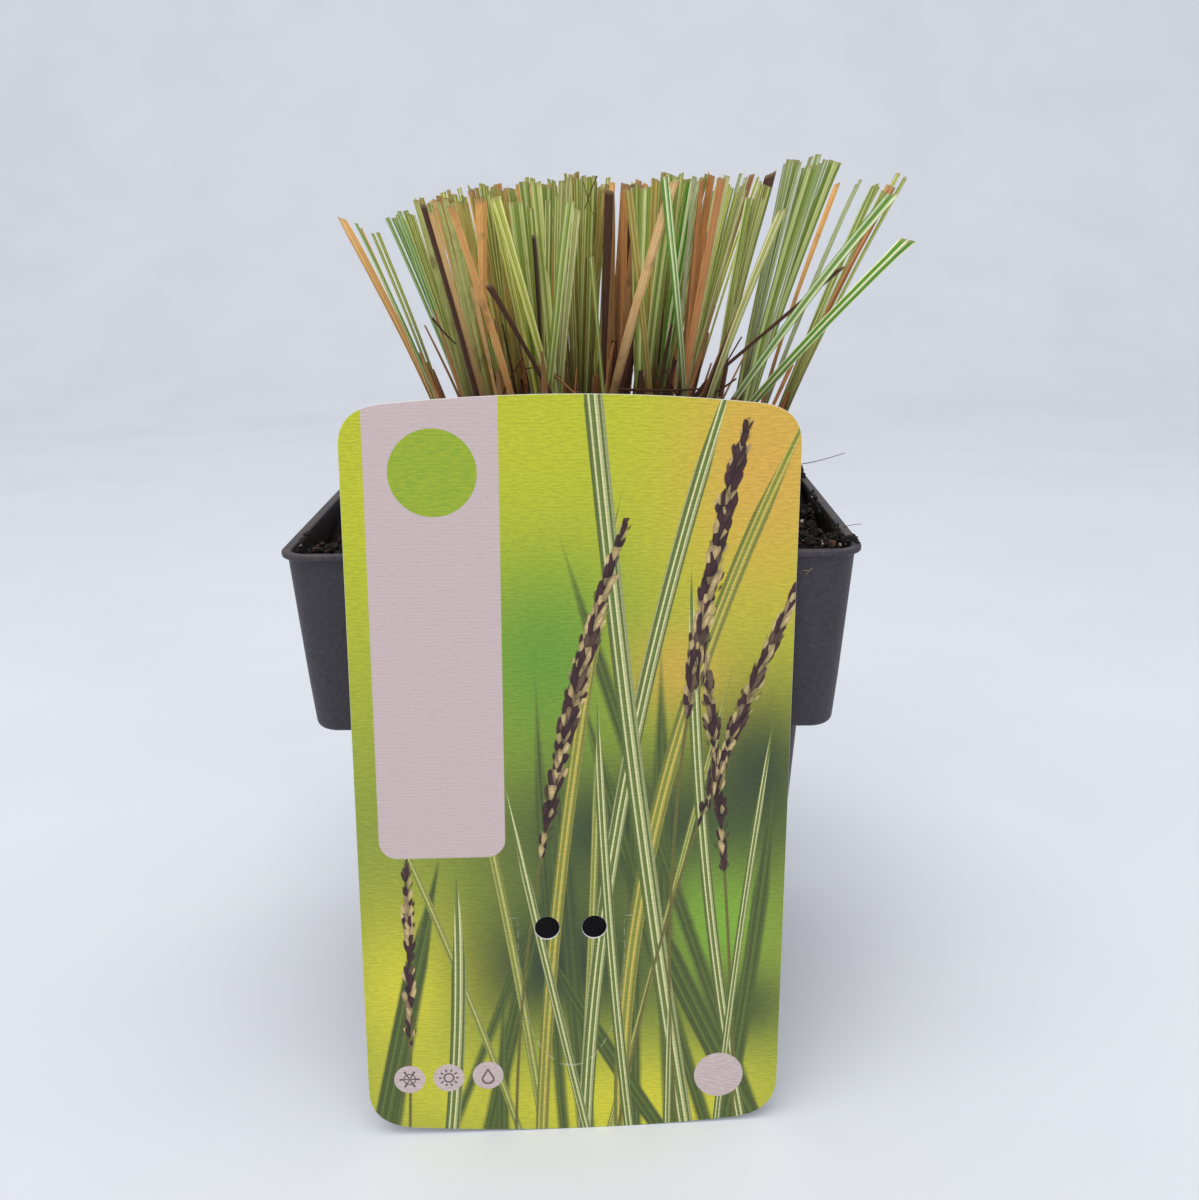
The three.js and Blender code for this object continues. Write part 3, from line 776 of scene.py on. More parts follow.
def card_plain(card):
    """The white card itself: its back and its cut edges."""
    shade = Shading("card_plain")
    where = shade.place()
    cloud = shade.noise(where, 40, 4, 0.6)
    weave = shade.noise(where * (1.0, 1.0, 4.0), 500, 2, 0.6)
    colour = shade.blend(card.back_low, card.back_high, cloud)
    smudge = shade.noise(where, 90, 5, 0.7).smooth(0.62, 0.8) * 0.25
    colour = shade.blend(colour, card.smudge_colour, smudge)
    return shade.finish(colour, 0.42 + cloud * 0.15, weave, 0.03 * MM)


class CardPrint:
    """The card's front, painted from the ground up. Places are in millimetres, across from the
    card's middle and up from its foot."""

    def __init__(self, card):
        self.card = card
        self.shade = Shading("card_print")
        self.across, self.up, _ = self.shade.mark("card").parts()
        self.spot = self.shade.vector(self.across, self.up, 0.0)
        self.colour = card.ground_low
        self.draw = draws(SEEDS["print"])

    def paint(self, colour, mask):
        self.colour = self.shade.blend(self.colour, colour, mask)

    def patches(self, patches):
        """Soft blurs of one colour each."""
        for name, place, reach, strength in patches:
            across = (self.across - place[0]) / reach[0]
            up = (self.up - place[1]) / reach[1]
            mask = (-(across * across + up * up)).exp()
            self.paint(getattr(self.card, name), mask * strength)

    def from_stem(self, foot, lean, bend):
        """Distance across from a stem that leans and bends as it rises."""
        rise = self.up - LEAF_FOOT
        return self.across - ((rise * bend + lean) * rise + foot)

    def leaf(self, foot, lean, bend, tip, wide, soft, kind):
        """One leaf: out of focus where soft is high, striped where it is low."""
        ground, stripe = [getattr(self.card, name) for name in PRINT_LEAVES[kind]]
        away = self.from_stem(foot, lean, bend)
        edge = ((tip - self.up) * 0.045 * wide).least(wide)
        mask = ((edge - abs(away)) / soft + 0.35).held()
        turn = away * (min(9.0, 5.5 + wide * 2) / wide) + about(self.draw, 0, 6)
        stripes = (turn.sine() + (turn * 2.3).sine() * 0.6) * (0.8 / (soft + 0.9)) + 0.3
        striped = self.shade.blend(ground, stripe, stripes.held())
        hollow = (abs(away) * 0.9 / wide - 0.3).held()
        self.paint(self.shade.blend(striped, self.card.leaf_dark, hollow), mask)

    def fan(self, fan):
        """A row of leaves placed by draws."""

        def drawn(i, first, step, spread):
            middle = first + i * step
            return about(self.draw, middle, spread) if spread else middle

        heights, spread = fan.tips
        for i, height in enumerate(heights):
            shape = [drawn(i, *sizes) for sizes in (fan.foot, fan.lean, fan.bend)]
            tip = about(self.draw, height, spread)
            self.leaf(*shape, tip, drawn(i, *fan.wide), fan.soft, fan.kind)

    def placed(self, leaves, soft):
        for *shape, kind in leaves:
            self.leaf(*shape, soft, kind)

    def spikes(self):
        """Flower spikes: thin stems, and grains crowded along their upper parts in bunches."""
        bunches = self.shade.noise(self.shade.vector(0.0, self.up * 0.14, 3.0), 1.0, 2)
        inside = sideways = None
        for foot, lean, bend, low, high, wide in SPIKES:
            away = self.from_stem(foot, lean, bend)
            stem = ((0.3 - abs(away)) * 4 + 0.5).held() * (1 - self.up.smooth(high - 4, high))
            self.paint(self.card.stem_colour, stem)
            swell = ((self.up - low) * (high - self.up) / (0.25 * (high - low) ** 2)).most(0.0)
            reach = swell**0.4 * wide * (bunches * 1.8 + 0.1) - abs(away)
            near = (reach + 1).smooth(0.0, 0.3) * swell.smooth(0.0, 0.04)
            held = near * away
            grained = near * (reach + 5)
            inside = inside.most(grained) if inside else grained
            sideways = sideways + held if sideways else held
        cell = self.shade.vector(sideways, self.up * 0.5 - abs(sideways) * 0.62, 0.0)
        nearest = self.shade.cells(cell, 1.0)
        tint = self.shade.cells(cell, 1.0, out=1).parts()[0]
        mask = ((inside - 5.0 + 0.75 - nearest * 1.5) * 3).held()
        grains = self.shade.blend(self.card.spike_dark, self.card.spike_pale, tint.smooth(0.45, 0.8))
        self.paint(grains * (1.3 - nearest * 1.1), mask)

    def away_from(self, place):
        return ((self.across - place[0]) ** 2 + (self.up - place[1]) ** 2) ** 0.5

    def disc(self, across, up, radius):
        return ((radius - self.away_from((across, up))) * 8 + 0.5).held()

    def ring(self, place, radius, line):
        return ((line - abs(self.away_from(place) - radius)) * 12 + 0.5).held()

    def rays(self, place, count, near, far, line):
        """Short strokes that point away from a middle."""
        turn = (self.up - place[1]).maths("ARCTAN2", self.across - place[0]) * count
        away = self.away_from(place)
        stroke = ((turn.maths("COSINE") - 1) * away / count + line).held()
        within = ((away - near) * 12).held() * ((far - away) * 12).held()
        return (stroke * 20).held() * within

    def panel(self):
        """The panel's mask: it runs off the top edge and has rounded lower corners."""
        corner = PANEL["corner"]
        side = (abs(self.across - PANEL["middle"]) - (PANEL["half"] - corner)).most(0.0)
        below = ((PANEL["foot"] + corner) - self.up).most(0.0)
        return ((corner - (side * side + below * below) ** 0.5) * 8 + 0.5).held()

    def signs(self):
        """Frost, sun and drop, each in its round sign, and a bare round sign."""
        for sign in (FROST_SIGN, SUN_SIGN, DROP_SIGN, BARE_SIGN):
            self.paint(self.card.panel_colour, self.disc(*sign))
        from_middle = self.up - (DROP_SIGN[1] - 0.7)
        sunk = from_middle.least(0.0)
        drop_shape = ((self.across - DROP_SIGN[0]) ** 2 + sunk * sunk) ** 0.5 + from_middle.most(0.0) * 0.55
        drop = ((0.2 - abs(drop_shape - 1.15)) * 12 + 0.5).held()
        sun = self.ring(SUN_SIGN, 0.95, 0.17).most(self.rays(SUN_SIGN, 10, 1.35, 2.05, 0.11))
        frost = self.rays(FROST_SIGN, 6, 0.0, 2.1, 0.1).most(self.ring(FROST_SIGN, 1.15, 0.11))
        self.paint(self.card.ink_colour, drop.most(sun).most(frost) * 0.85)

    def tongue(self):
        """A tongue stamped out under the holes and joined by fine bridges."""
        across = self.across - TONGUE["middle"]
        low_part = (self.up - TONGUE["level"]).least(0.0) / TONGUE["deep"]
        outline = ((across / TONGUE["half"]) ** 2 + low_part * low_part) ** 0.5
        line = (1 - abs(outline - 1) * 60).held() * (1 - self.up.smooth(TONGUE["top"] - 1.5, TONGUE["top"]))
        bridges = (self.up * 2.3).sine().smooth(-0.6, -0.3)
        beside = 1 - abs(abs(across) - SIDE_CUTS["across"]).smooth(0.9, 1.1)
        side_cuts = (1 - abs(self.up - SIDE_CUTS["up"]) * 6).held() * beside
        stamped = (line * bridges).most(side_cuts)
        self.paint(self.card.cut_colour, stamped * 0.35)
        return stamped

    def finish(self, panel, stamped):
        """Dots, dashes and the card's weave over all of it."""
        shade, spot = self.shade, self.spot
        dots = shade.cells(spot, 0.9).smooth(0.1, 0.05) * shade.noise(spot, 0.35, 2).smooth(0.55, 0.7)
        self.paint(self.card.ink_colour, dots * 0.5)
        drift = shade.noise(spot * (0.4, 1.2, 1.0), 1.0, 2) * 3
        weave = (self.up * 9.5 + drift).sine() * 0.5 + 0.5
        fine = shade.noise(spot * (0.9, 3.4, 1.0), 1.0, 3, 0.7)
        dashes = shade.noise(spot * (0.62, 2.1, 1.0), 1.0, 1).smooth(0.3, 0.7)
        inked = 1 - panel * 0.7
        grain = shade.noise(spot, 6.0, 2, 0.7)
        lit = fine * 0.16 + (dashes - 0.5) * inked * 0.13 + (grain - 0.5) * 0.22 + (weave - 0.5) * 0.04
        height = weave * 0.2 + fine * 0.7 + grain * 0.7 + dashes * inked - stamped * 2
        roughness = 0.36 + fine * 0.18 + panel * 0.12
        return shade.finish(self.colour * (lit + 0.92), roughness, height, 0.06 * MM, specular=0.4)


def card_print(card):
    """A soft green ground, a fan of striped leaves, flower spikes, a bare panel with a plain disc,
    and three plain care signs."""
    front = CardPrint(card)
    front.paint(card.ground_high, front.up.smooth(58, 132))
    front.patches(GROUND_PATCHES)
    front.fan(FAR_FAN)
    front.placed(FAR_LEAVES, 0.6)
    front.patches(FAR_PATCHES)
    front.fan(NEAR_FAN)
    front.placed(NEAR_LEAVES, 0.22)
    front.spikes()
    front.fan(FRONT_FAN)
    panel = front.panel()
    front.paint(card.panel_colour, panel)
    mottle = front.shade.noise(front.spot * (0.5, 3.0, 1.0), 1.0, 3)
    front.paint(front.shade.blend(card.ground_high, card.ground_mid, mottle), front.disc(*PANEL_DISC))
    front.signs()
    return front.finish(panel, front.tongue())


def studio_floor(stage):
    """Plain pale painted board, very slightly mottled."""
    shade = Shading("studio_floor")
    where = shade.place()
    cloud = shade.noise(where, 9, 2, 0.6)
    colour = shade.blend(stage.floor_low, stage.floor_high, cloud.smooth(0.3, 0.7))
    return shade.finish(colour, 0.75)


# Shapes


def body_half(z):
    return mix(BODY_FOOT_HALF, BODY_TOP_HALF, z / COLLAR_FOOT)


def collar_half(z):
    share = (z - COLLAR_FOOT) / (POT_HEIGHT - LIP_HEIGHT - COLLAR_FOOT)
    return mix(COLLAR_FOOT_HALF, UNDER_LIP, share)


def rounded(centre_z, centre_half, radius, start, end, corner, steps=4):
    """Rings that carry the wall round an edge of that radius, between two angles in degrees."""
    rings = []
    for i in range(steps + 1):
        turn = math.radians(mix(start, end, i / steps))
        half = centre_half + radius * math.cos(turn)
        rings.append(ring_at(centre_z + radius * math.sin(turn), half, corner + half - centre_half))
    return rings


def make_pot(pot):
    """The pot as one thin shell: lip, wide collar, narrow body, and a drained floor."""
    rise = POT_HEIGHT - LIP_HEIGHT
    ledge = COLLAR_FOOT + WALL
    edge = POT_EDGE
    inner = UNDER_LIP - WALL
    fillet = COLLAR_FILLET
    rings = [ring_at(0, BODY_FOOT_HALF - 2 * edge, CORNER - 2 * edge)]
    rings += rounded(2 * edge, BODY_FOOT_HALF - 2 * edge, 2 * edge, -60, 0, CORNER - 2 * edge)
    rings.append(ring_at(COLLAR_FOOT - edge, body_half(COLLAR_FOOT - edge), CORNER))
    rings.append(ring_at(COLLAR_FOOT, BODY_TOP_HALF + edge, CORNER + edge))
    inside_fillet = COLLAR_FOOT_HALF - fillet
    rings.append(ring_at(COLLAR_FOOT, inside_fillet - edge, CORNER - fillet))
    rings += rounded(COLLAR_FOOT + fillet, inside_fillet, fillet, -80, 0, CORNER - fillet, 6)
    for share in (0.25, 0.5, 0.75, 1):
        z = mix(COLLAR_FOOT + fillet, rise - edge, share)
        rings.append(ring_at(z, collar_half(z), CORNER))
    rings.append(ring_at(rise, UNDER_LIP + edge, CORNER + edge))
    rings += rounded(rise + edge, RIM_HALF - edge, edge, -90, 0, LIP_CORNER)
    rings += rounded(POT_HEIGHT - edge, RIM_HALF - edge, edge, 10, 90, LIP_CORNER)
    rings += rounded(POT_HEIGHT - edge, inner + edge, edge, 90, 180, CORNER - WALL)
    for z in (POT_HEIGHT - 4 * MM, ledge + 3 * MM, ledge):
        rings.append(ring_at(z, collar_half(z) - WALL, CORNER - WALL))
    rings.append(ring_at(ledge, body_half(ledge) - WALL, CORNER - WALL))
    rings.append(ring_at(FLOOR, body_half(FLOOR) - WALL, CORNER - WALL))
    shell = Shell()
    shell.loft(rings)
    piece = shell.piece("pot_shell", pot_plastic(pot), sharp=32)
    cut_drainage(piece)
    return piece


def cut_drainage(piece):
    """Drains the pot's floor: eight round holes, and a shallow groove under each side."""
    holes = Shell()
    count, radius = DRAIN_HOLES["count"], DRAIN_HOLES["radius"]
    turns = np.arange(32) * 2 * math.pi / 32
    for i in range(count):
        turn = i * 2 * math.pi / count
        away = DRAIN_HOLES["from_middle"][i % 2]
        x = away * math.cos(turn) + radius * np.cos(turns)
        y = away * math.sin(turn) + radius * np.sin(turns)
        holes.loft([np.column_stack([x, y, np.full(32, z)]) for z in DRAIN_CUT])
    grooves = Shell()
    start, end, half, deep = [DRAIN_GROOVE[size] for size in ("start", "end", "half", "deep")]
    for i in range(4):
        turn = Matrix.Rotation(i * math.pi / 2, 3, "Z")
        corners = [(start, -half), (end, -half), (end, half), (start, half)]
        grooves.loft([[turn @ Vector((x, y, z)) for x, y in corners] for z in (-deep, deep)])
    for name, shell in (("holes", holes), ("grooves", grooves)):
        cutter = add_object(name, shell.mesh(name))
        cut = piece.modifiers.new(name, "BOOLEAN")
        cut.operation = "DIFFERENCE"
        cut.solver = "EXACT"
        cut.object = cutter
        whole = evaluated_mesh(piece)
        piece.modifiers.clear()
        piece.data = whole
        bpy.data.objects.remove(cutter)


def soil_height(x, y):
    """Height of the soil's surface, everything in millimetres, as the solid has it."""
    away = max(abs(x - SOIL_HEAP["middle"]), abs(y)) / SOIL_HEAP["reach"]
    heap = SOIL_HEAP["high"] * max(0, 1 - away * away)
    lumps = math.sin(x * 0.31 + 1.3) * math.cos(y * 0.37 + 0.4) + math.sin((x + y) * 0.19)
    from_mound = math.hypot(x - SIDE_MOUND["x"], y - SIDE_MOUND["y"]) / SIDE_MOUND["radius"]
    mound = SIDE_MOUND["high"] * math.exp(-from_mound * from_mound)
    return SOIL_AT_WALL + heap + SOIL_LUMP * lumps + mound


def crumbled(x, y):
    """The soil's surface with its crumbs, in metres, from a place in metres."""
    spot = Vector((x, y, 0)) / MM
    rough = noise.fractal(spot * 0.22, 1.0, 2.1, 4) * 0.9 + noise.noise(spot * 1.3) * 0.35
    return (soil_height(spot.x, spot.y) + rough) * MM


def make_soil(soil):
    """The soil as one body, with a crumbled surface inside the rim."""
    side = WALL + GAP
    corner = CORNER - side
    ledge = COLLAR_FOOT + side
    wall_half = collar_half(SOIL_AT_WALL * MM) - side
    fine = {"steps": 6, "along": 44}
    rings = [
        ring_at(FLOOR + GAP, body_half(FLOOR) - side, corner, **fine),
        ring_at(ledge, body_half(ledge) - side, corner, **fine),
        ring_at(ledge, collar_half(ledge) - side, corner, **fine),
    ]
    for share in np.linspace(1, 0.01, 60):
        around = rounded_square(wall_half * share, corner * share, **fine)
        rings.append([(x, y, crumbled(x, y)) for x, y in around])
    shell = Shell()
    shell.loft(rings)
    return shell.piece("soil_fill", potting_soil(soil), sharp=180)


def chunk_shapes(draw, count=10):
    """A few irregular lumps with twelve corners, about one across, to be turned and scaled."""
    wide = 3.8
    golden = (1 + 5**0.5) / 2
    corners = []
    for a in (-1, 1):
        for b in (-golden, golden):
            corners += [(0, a, b), (a, b, 0), (b, 0, a)]
    corners = np.array(corners, float) / wide
    edge = min(np.linalg.norm(corners[0] - other) for other in corners[1:])
    close = np.linalg.norm(corners[:, None] - corners[None], axis=2) < edge * 1.1
    faces = []
    for a in range(12):
        for b in range(a + 1, 12):
            for c in range(b + 1, 12):
                if close[a, b] and close[b, c] and close[a, c]:
                    out = np.dot(np.cross(corners[b] - corners[a], corners[c] - corners[a]), corners[a])
                    faces.append((a, b, c) if out > 0 else (a, c, b))
    return [(corners * [[about(draw, 1, 0.95)] for _ in corners], faces) for _ in range(count)]


def turned(points, draw, tilt):
    """Points turned at random about +Z, and tipped by up to a tilt in radians."""
    turn = Matrix.Rotation(draw() * 2 * math.pi, 3, "Z")
    tip = Matrix.Rotation(about(draw, 0, 2 * tilt), 3, "X")
    lean = Matrix.Rotation(about(draw, 0, 2 * tilt), 3, "Y")
    return points @ np.array(turn @ tip @ lean).T


def scatter(draw, margin):
    """A place on the soil inside the wall, in metres."""
    reach = SOIL_HALF - margin
    return about(draw, 0, 2 * reach), about(draw, 0, 2 * reach)


def on_heap(draw, heap, size):
    """A place on one of the heaps against the rim, and its height over the soil, in metres."""
    away = draw() ** 0.6
    turn = draw() * 2 * math.pi
    limit = SOIL_HALF / MM - HEAP_MARGIN - size / MM * 0.5 + heap.spill
    x = max(-limit, min(limit, heap.x + heap.reach * away * math.cos(turn)))
    y = max(-limit, min(limit, heap.y + heap.reach * away * math.sin(turn)))
    return x * MM, y * MM, heap.high * (1 - away**1.5) * mix(0.2, 1, draw() ** 0.5) * MM


def add_chunk(shell, shapes, litter, heap, draw):
    """One bit of litter, loose on the soil or lying on a heap."""
    corners, faces = pick(draw, shapes)
    size = mix(*litter.sizes, draw() ** 2.2) * MM
    x, y = scatter(draw, LITTER_MARGIN + size * 0.5)
    piled = 0
    if heap:
        size *= HEAPED_SIZE
        x, y, piled = on_heap(draw, heap, size)
    points = turned(corners * np.array(litter.shape) * size, draw, HEAPED_TILT if heap else litter.tilt)
    floor = crumbled(x, y) if max(abs(x), abs(y)) < ON_RIM else POT_HEIGHT
    lift = floor + piled + size * litter.shape[2] * about(draw, 0.22, 0.3)
    tint = np.array(linear(pick(draw, litter.tints))) * about(draw, 1, 0.5)
    shell.add(points + (x, y, lift), faces, tint=tint)


def make_fibres(count, draw):
    """Fine roots and fibres that lie on the soil."""
    shell = Shell("tint")
    steps = 8
    for _ in range(count):
        x, y = scatter(draw, FIBRE["margin"] * MM)
        turn = draw() * 2 * math.pi
        curl = about(draw, 0, FIBRE["curl"])
        step_long = mix(*FIBRE["long"], draw()) * MM / steps
        arch = draw() * FIBRE["arch"] * MM
        path = []
        for step in range(steps + 1):
            clear = FIBRE["clear"] * MM + arch * math.sin(step / steps * math.pi)
            path.append((x, y, crumbled(x, y) + clear))
            x += step_long * math.cos(turn + curl * step / steps)
            y += step_long * math.sin(turn + curl * step / steps)
        thick = mix(*FIBRE["thick"], draw() ** 2) * MM
        tube(shell, path, (thick, thick * 0.6), 5, tint=linear(pick(draw, FIBRE_TINTS)))
    return shell.piece("soil_fibres", tinted("fibre_finish"), sharp=60)


def make_litter(soil):
    """Crumbs, bark flakes, pale grains and fibres, each kind a piece of its own."""
    draw = draws(SEEDS["litter"])
    shapes = chunk_shapes(draw)
    pieces = []
    for name, litter in LITTER.items():
        shell = Shell("tint")
        loose = getattr(soil, litter.count)
        heaped = int(loose * soil.heaped * litter.heaped)
        heaps = [heap for heap in HEAPS for _ in range(int(heaped * heap.share))]
        for heap in [None] * loose + heaps:
            add_chunk(shell, shapes, litter, heap, draw)
        pieces.append(shell.piece(name, tinted(name + "_finish"), sharp=35))
    return [*pieces, make_fibres(soil.fibres, draw)]


def row_at(row, share):
    """Y of a row at a share of the way up from the crown to the cut, in millimetres."""
    return (FIRST_ROW + (row - 1) * ROW_PITCH) * (1 + ROW_SPREAD * share)


def spread_at(z):
    """How far a shoot has spread at a height, from 0 at the crown to 1 at the cut."""
    share = max(0, (z - CROWN_LEVEL) / (CUT_LEVEL - CROWN_LEVEL))
    return share - OUTWARD_BOW * share * (1 - share)


def add_strip(shell, rings, lanes, seed, start, end, look):
    """A thin strip through rings of a middle line, its direction out, its curl and thickness."""
    skin = []
    places = []
    for up, (middle, out, depth, thick) in zip(np.linspace(start, end, len(rings)), rings):
        top = middle + out * (depth + thick)[:, None]
        low = middle + out * (depth - thick)[:, None]
        skin.append(np.concatenate([top, low[::-1]]))
        places += [(lane, up, seed) for lane in (*lanes, *lanes[::-1])]
    shell.loft(np.array(skin) * MM, blade=places, **look.colours)


def blade(shell, foot, tip, width, facing, look, tuft, draw, kink=None):
    """One cut blade in millimetres: a thin folded strip from the foot to a level cut."""
    lanes = np.linspace(-1, 1, 7)
    fold, twist, sway = DEAD_BEND if look.dead else LIVE_BEND
    fold = about(draw, fold, FOLD_RANGE) * (1 if draw() < 0.7 else -1)
    twist = about(draw, 0, twist)
    sway = [about(draw, 0, sway) for _ in range(2)]
    slant = about(draw, 0, 0.9)
    seed = draw()
    thick = tuft.blade_thickness / MM * (1 - 0.55 * lanes**2) / 2
    rings = []
    for up in np.linspace(0, 1, 19):
        z = mix(foot[2], tip[2], up)
        spread = spread_at(z) / spread_at(tip[2])
        swing = math.sin(up * math.pi) ** 2
        x = mix(foot[0], tip[0], spread) + sway[0] * swing
        y = mix(foot[1], tip[1], spread) + sway[1] * swing
        if kink and z < kink["z"]:
            x = mix(foot[0], kink["x"], (z - foot[2]) / (kink["z"] - foot[2]))
        elif kink:
            x = mix(kink["x"], tip[0], (z - kink["z"]) / (tip[2] - kink["z"]))
        half = mix(FOOT_SHARE * width, width, up) / 2
        if look.dead:
            half *= 1 + 0.12 * math.sin(up * 9 + seed * 20)
        turn = facing + twist * (up - 1) * up
        along = np.array([math.cos(turn), math.sin(turn), 0])
        out = np.array([-math.sin(turn), math.cos(turn), 0])
        level = np.zeros((7, 1)) + (0, 0, 1) * (slant * lanes[:, None] * half * (up > 0.99))
        middle = np.array([x, y, z]) + along * (lanes * half)[:, None] + level
        rings.append((middle, out, (abs(lanes) - 0.5) * fold * half, thick))
    add_strip(shell, rings, lanes, seed, 0, 1, look)


def pair_of_leaves(shell, foot, tip, width, facing, letter, tuft, draw):
    """Two narrow leaves side by side, in the place of one blade of the solid."""
    along = np.array([math.cos(facing), math.sin(facing), 0])
    for side in (-1, 1):
        apart = side * width * 0.25
        low = np.array(foot) + along * apart * 0.4
        high = np.array(tip) + along * apart * 1.2 + (0, 0, about(draw, 0, 2))
        narrow = width * about(draw, 0.46, 0.2)
        look = look_of(tuft, letter, draw)
        blade(shell, low, high, narrow, about(draw, facing, 0.7), look, tuft, draw)


def look_of(tuft, letter, draw):
    """Whether a blade is dead, and its two colours, each a little off its kind's own."""
    name = FINISHES[letter].name
    shift = about(draw, 1, 0.3)
    band = np.array(getattr(tuft, name + "_band")) * shift
    stripe = np.array(getattr(tuft, name + "_stripe")) * mix(1, shift, 0.5)
    return Look(letter not in GREEN_FINISHES, {"band": band, "stripe": stripe})


def solid_blades(shell, tuft, shoot, ground, draw, extra):
    """The blades that the solid has: pairs of leaves, broad leaves and dry strips."""
    stalk = shoot.name == DEAD_STALK
    tip_row = STALK_KINK["row"] if stalk else shoot.row
    for i, letter in enumerate(shoot.finishes):
        share = i / (len(shoot.finishes) - 1) if len(shoot.finishes) > 1 else 0.5
        tip_z = about(draw, mix(*shoot.heights, share), STRAY["tip_z"])
        tip_x = about(draw, mix(*shoot.tips, share), STRAY["tip_x"])
        tip = (tip_x, about(draw, row_at(tip_row, spread_at(tip_z)), STRAY["tip_y"]), tip_z)
        foot_x = about(draw, shoot.x, STRAY["foot"])
        foot = (foot_x, about(draw, row_at(shoot.row, 0), STRAY["foot"]), ground - FOOT_SUNK)
        facing = about(draw, 0, STRAY["facing"])
        width = shoot.wide * about(draw, 1, STRAY["width"])
        if stalk:
            look = look_of(tuft, letter, extra)
            blade(shell, foot, tip, width * STALK_WIDE, facing, look, tuft, extra, STALK_KINK)
        elif letter in GREEN_FINISHES and letter not in BROAD_FINISHES:
            pair_of_leaves(shell, foot, tip, width, facing, letter, tuft, extra)
        else:
            share = BROAD_WIDE if letter in BROAD_FINISHES else mix(*DRY_WIDE, extra())
            width *= DARK_NARROW if letter == "k" and shoot.row == 1 else share
            facing *= STRIPED_FACING if letter == "v" else 1
            blade(shell, foot, tip, width, facing, look_of(tuft, letter, extra), tuft, extra)


def thin_blades(shell, tuft, shoot, ground, extra):
    """Thinner blades between a shoot's others, some of them short or of another finish."""
    for _ in range(tuft.thin_blades):
        share = extra()
        reach = 1 if extra() < THIN_TALL else mix(*THIN_SHORT, extra())
        high = mix(*shoot.heights, share)
        tip_z = mix(ground, about(extra, high - 0.5, THIN_STRAY["tip_z"]), reach)
        spread = spread_at(tip_z)
        full_x = about(extra, mix(*shoot.tips, share), THIN_STRAY["tip_x"])
        tip_x = mix(shoot.x, full_x, spread / spread_at(high))
        tip = (tip_x, about(extra, row_at(shoot.row, spread), THIN_STRAY["tip_y"] * spread), tip_z)
        letter = pick(extra, shoot.finishes if extra() < THIN_MATCHING else STRAY_FINISHES)
        look = look_of(tuft, letter, extra)
        foot_x = about(extra, shoot.x, THIN_STRAY["foot"])
        foot = (foot_x, about(extra, row_at(shoot.row, 0), THIN_STRAY["foot"]), ground - FOOT_SUNK)
        width = shoot.wide * mix(*THIN_WIDE, extra())
        facing = about(extra, 0, THIN_STRAY["facing"])
        blade(shell, foot, tip, width, facing, look, tuft, extra)


def sheaths(shell, tuft, shoot, ground, extra):
    """Three brown sheaths, one round the other, that follow the shoot up from its foot."""
    steps, sides = 7, 14
    turns = np.arange(sides) * 2 * math.pi / sides
    for i, letter in enumerate(SHEATH_FINISHES):
        high = mix(*SHEATH["high"], extra())
        turn = extra() * SHEATH["turned"]
        look = look_of(tuft, letter, extra)
        rings = []
        for up in np.linspace(0, 1, steps):
            z = mix(ground - SHEATH["sunk"], ground + high, up)
            spread = spread_at(z)
            x = mix(shoot.x, mix(*shoot.tips, 0.5), spread) + math.cos(turn) * SHEATH["apart"] * i
            y = row_at(shoot.row, spread) + math.sin(turn) * SHEATH["apart"] * i
            radius = mix(mix(*SHEATH["wide"], i / 2), SHEATH["end"], up**1.5) * (0.8 + 0.2 * i)
            ripple = radius * (1 + 0.12 * np.sin(turns * 3 + turn))
            round_x, round_y = x + ripple * np.cos(turns), y + ripple * np.sin(turns)
            rings.append(np.stack([round_x, round_y, np.full(sides, z)], 1))
        ups = np.repeat(np.linspace(0, 0.4, steps), sides)
        lanes = np.tile(np.linspace(-1, 1, sides), steps)
        places = np.stack([lanes, ups, ups * 0 + extra()], 1)
        shell.loft(np.array(rings) * MM, blade=places, **look.colours)


def make_shoot(tuft, materials, shoot, index):
    """One shoot: its blades where the solid has them, thinner ones between, and its sheaths."""
    extra = draws(FIRST_EXTRA_SEED + index)
    ground = soil_height(shoot.x, row_at(shoot.row, 0))
    shell = Shell("blade", "band", "stripe")
    solid_blades(shell, tuft, shoot, ground, draws(FIRST_SEED + index), extra)
    if len(shoot.finishes) > 2:
        thin_blades(shell, tuft, shoot, ground, extra)
    sheaths(shell, tuft, shoot, ground, extra)
    kind = shoot.name.split("_")[0]
    piece = shell.piece(shoot.name + "_blades", materials["green" if kind == "green" else "dry"], sharp=50)
    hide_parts(shoot.name)
    return piece


def make_crossing(tuft, materials):
    """Loose blades that cross just in front of the first row, live and dead ones a piece each."""
    draw = draws(SEEDS["crossing"])
    for kind, loose in CROSSING.items():
        shell = Shell("blade", "band", "stripe")
        for foot_x, tip, width, letter in loose:
            foot = (foot_x, CROSSING_FOOT_Y, soil_height(foot_x, CROSSING_FOOT_Y) - FOOT_SUNK)
            look = look_of(tuft, letter, draw)
            blade(shell, foot, tip, width, about(draw, 0, 0.8), look, tuft, draw)
        piece = shell.piece(f"crossing_{kind}_blades", materials[kind], sharp=50)


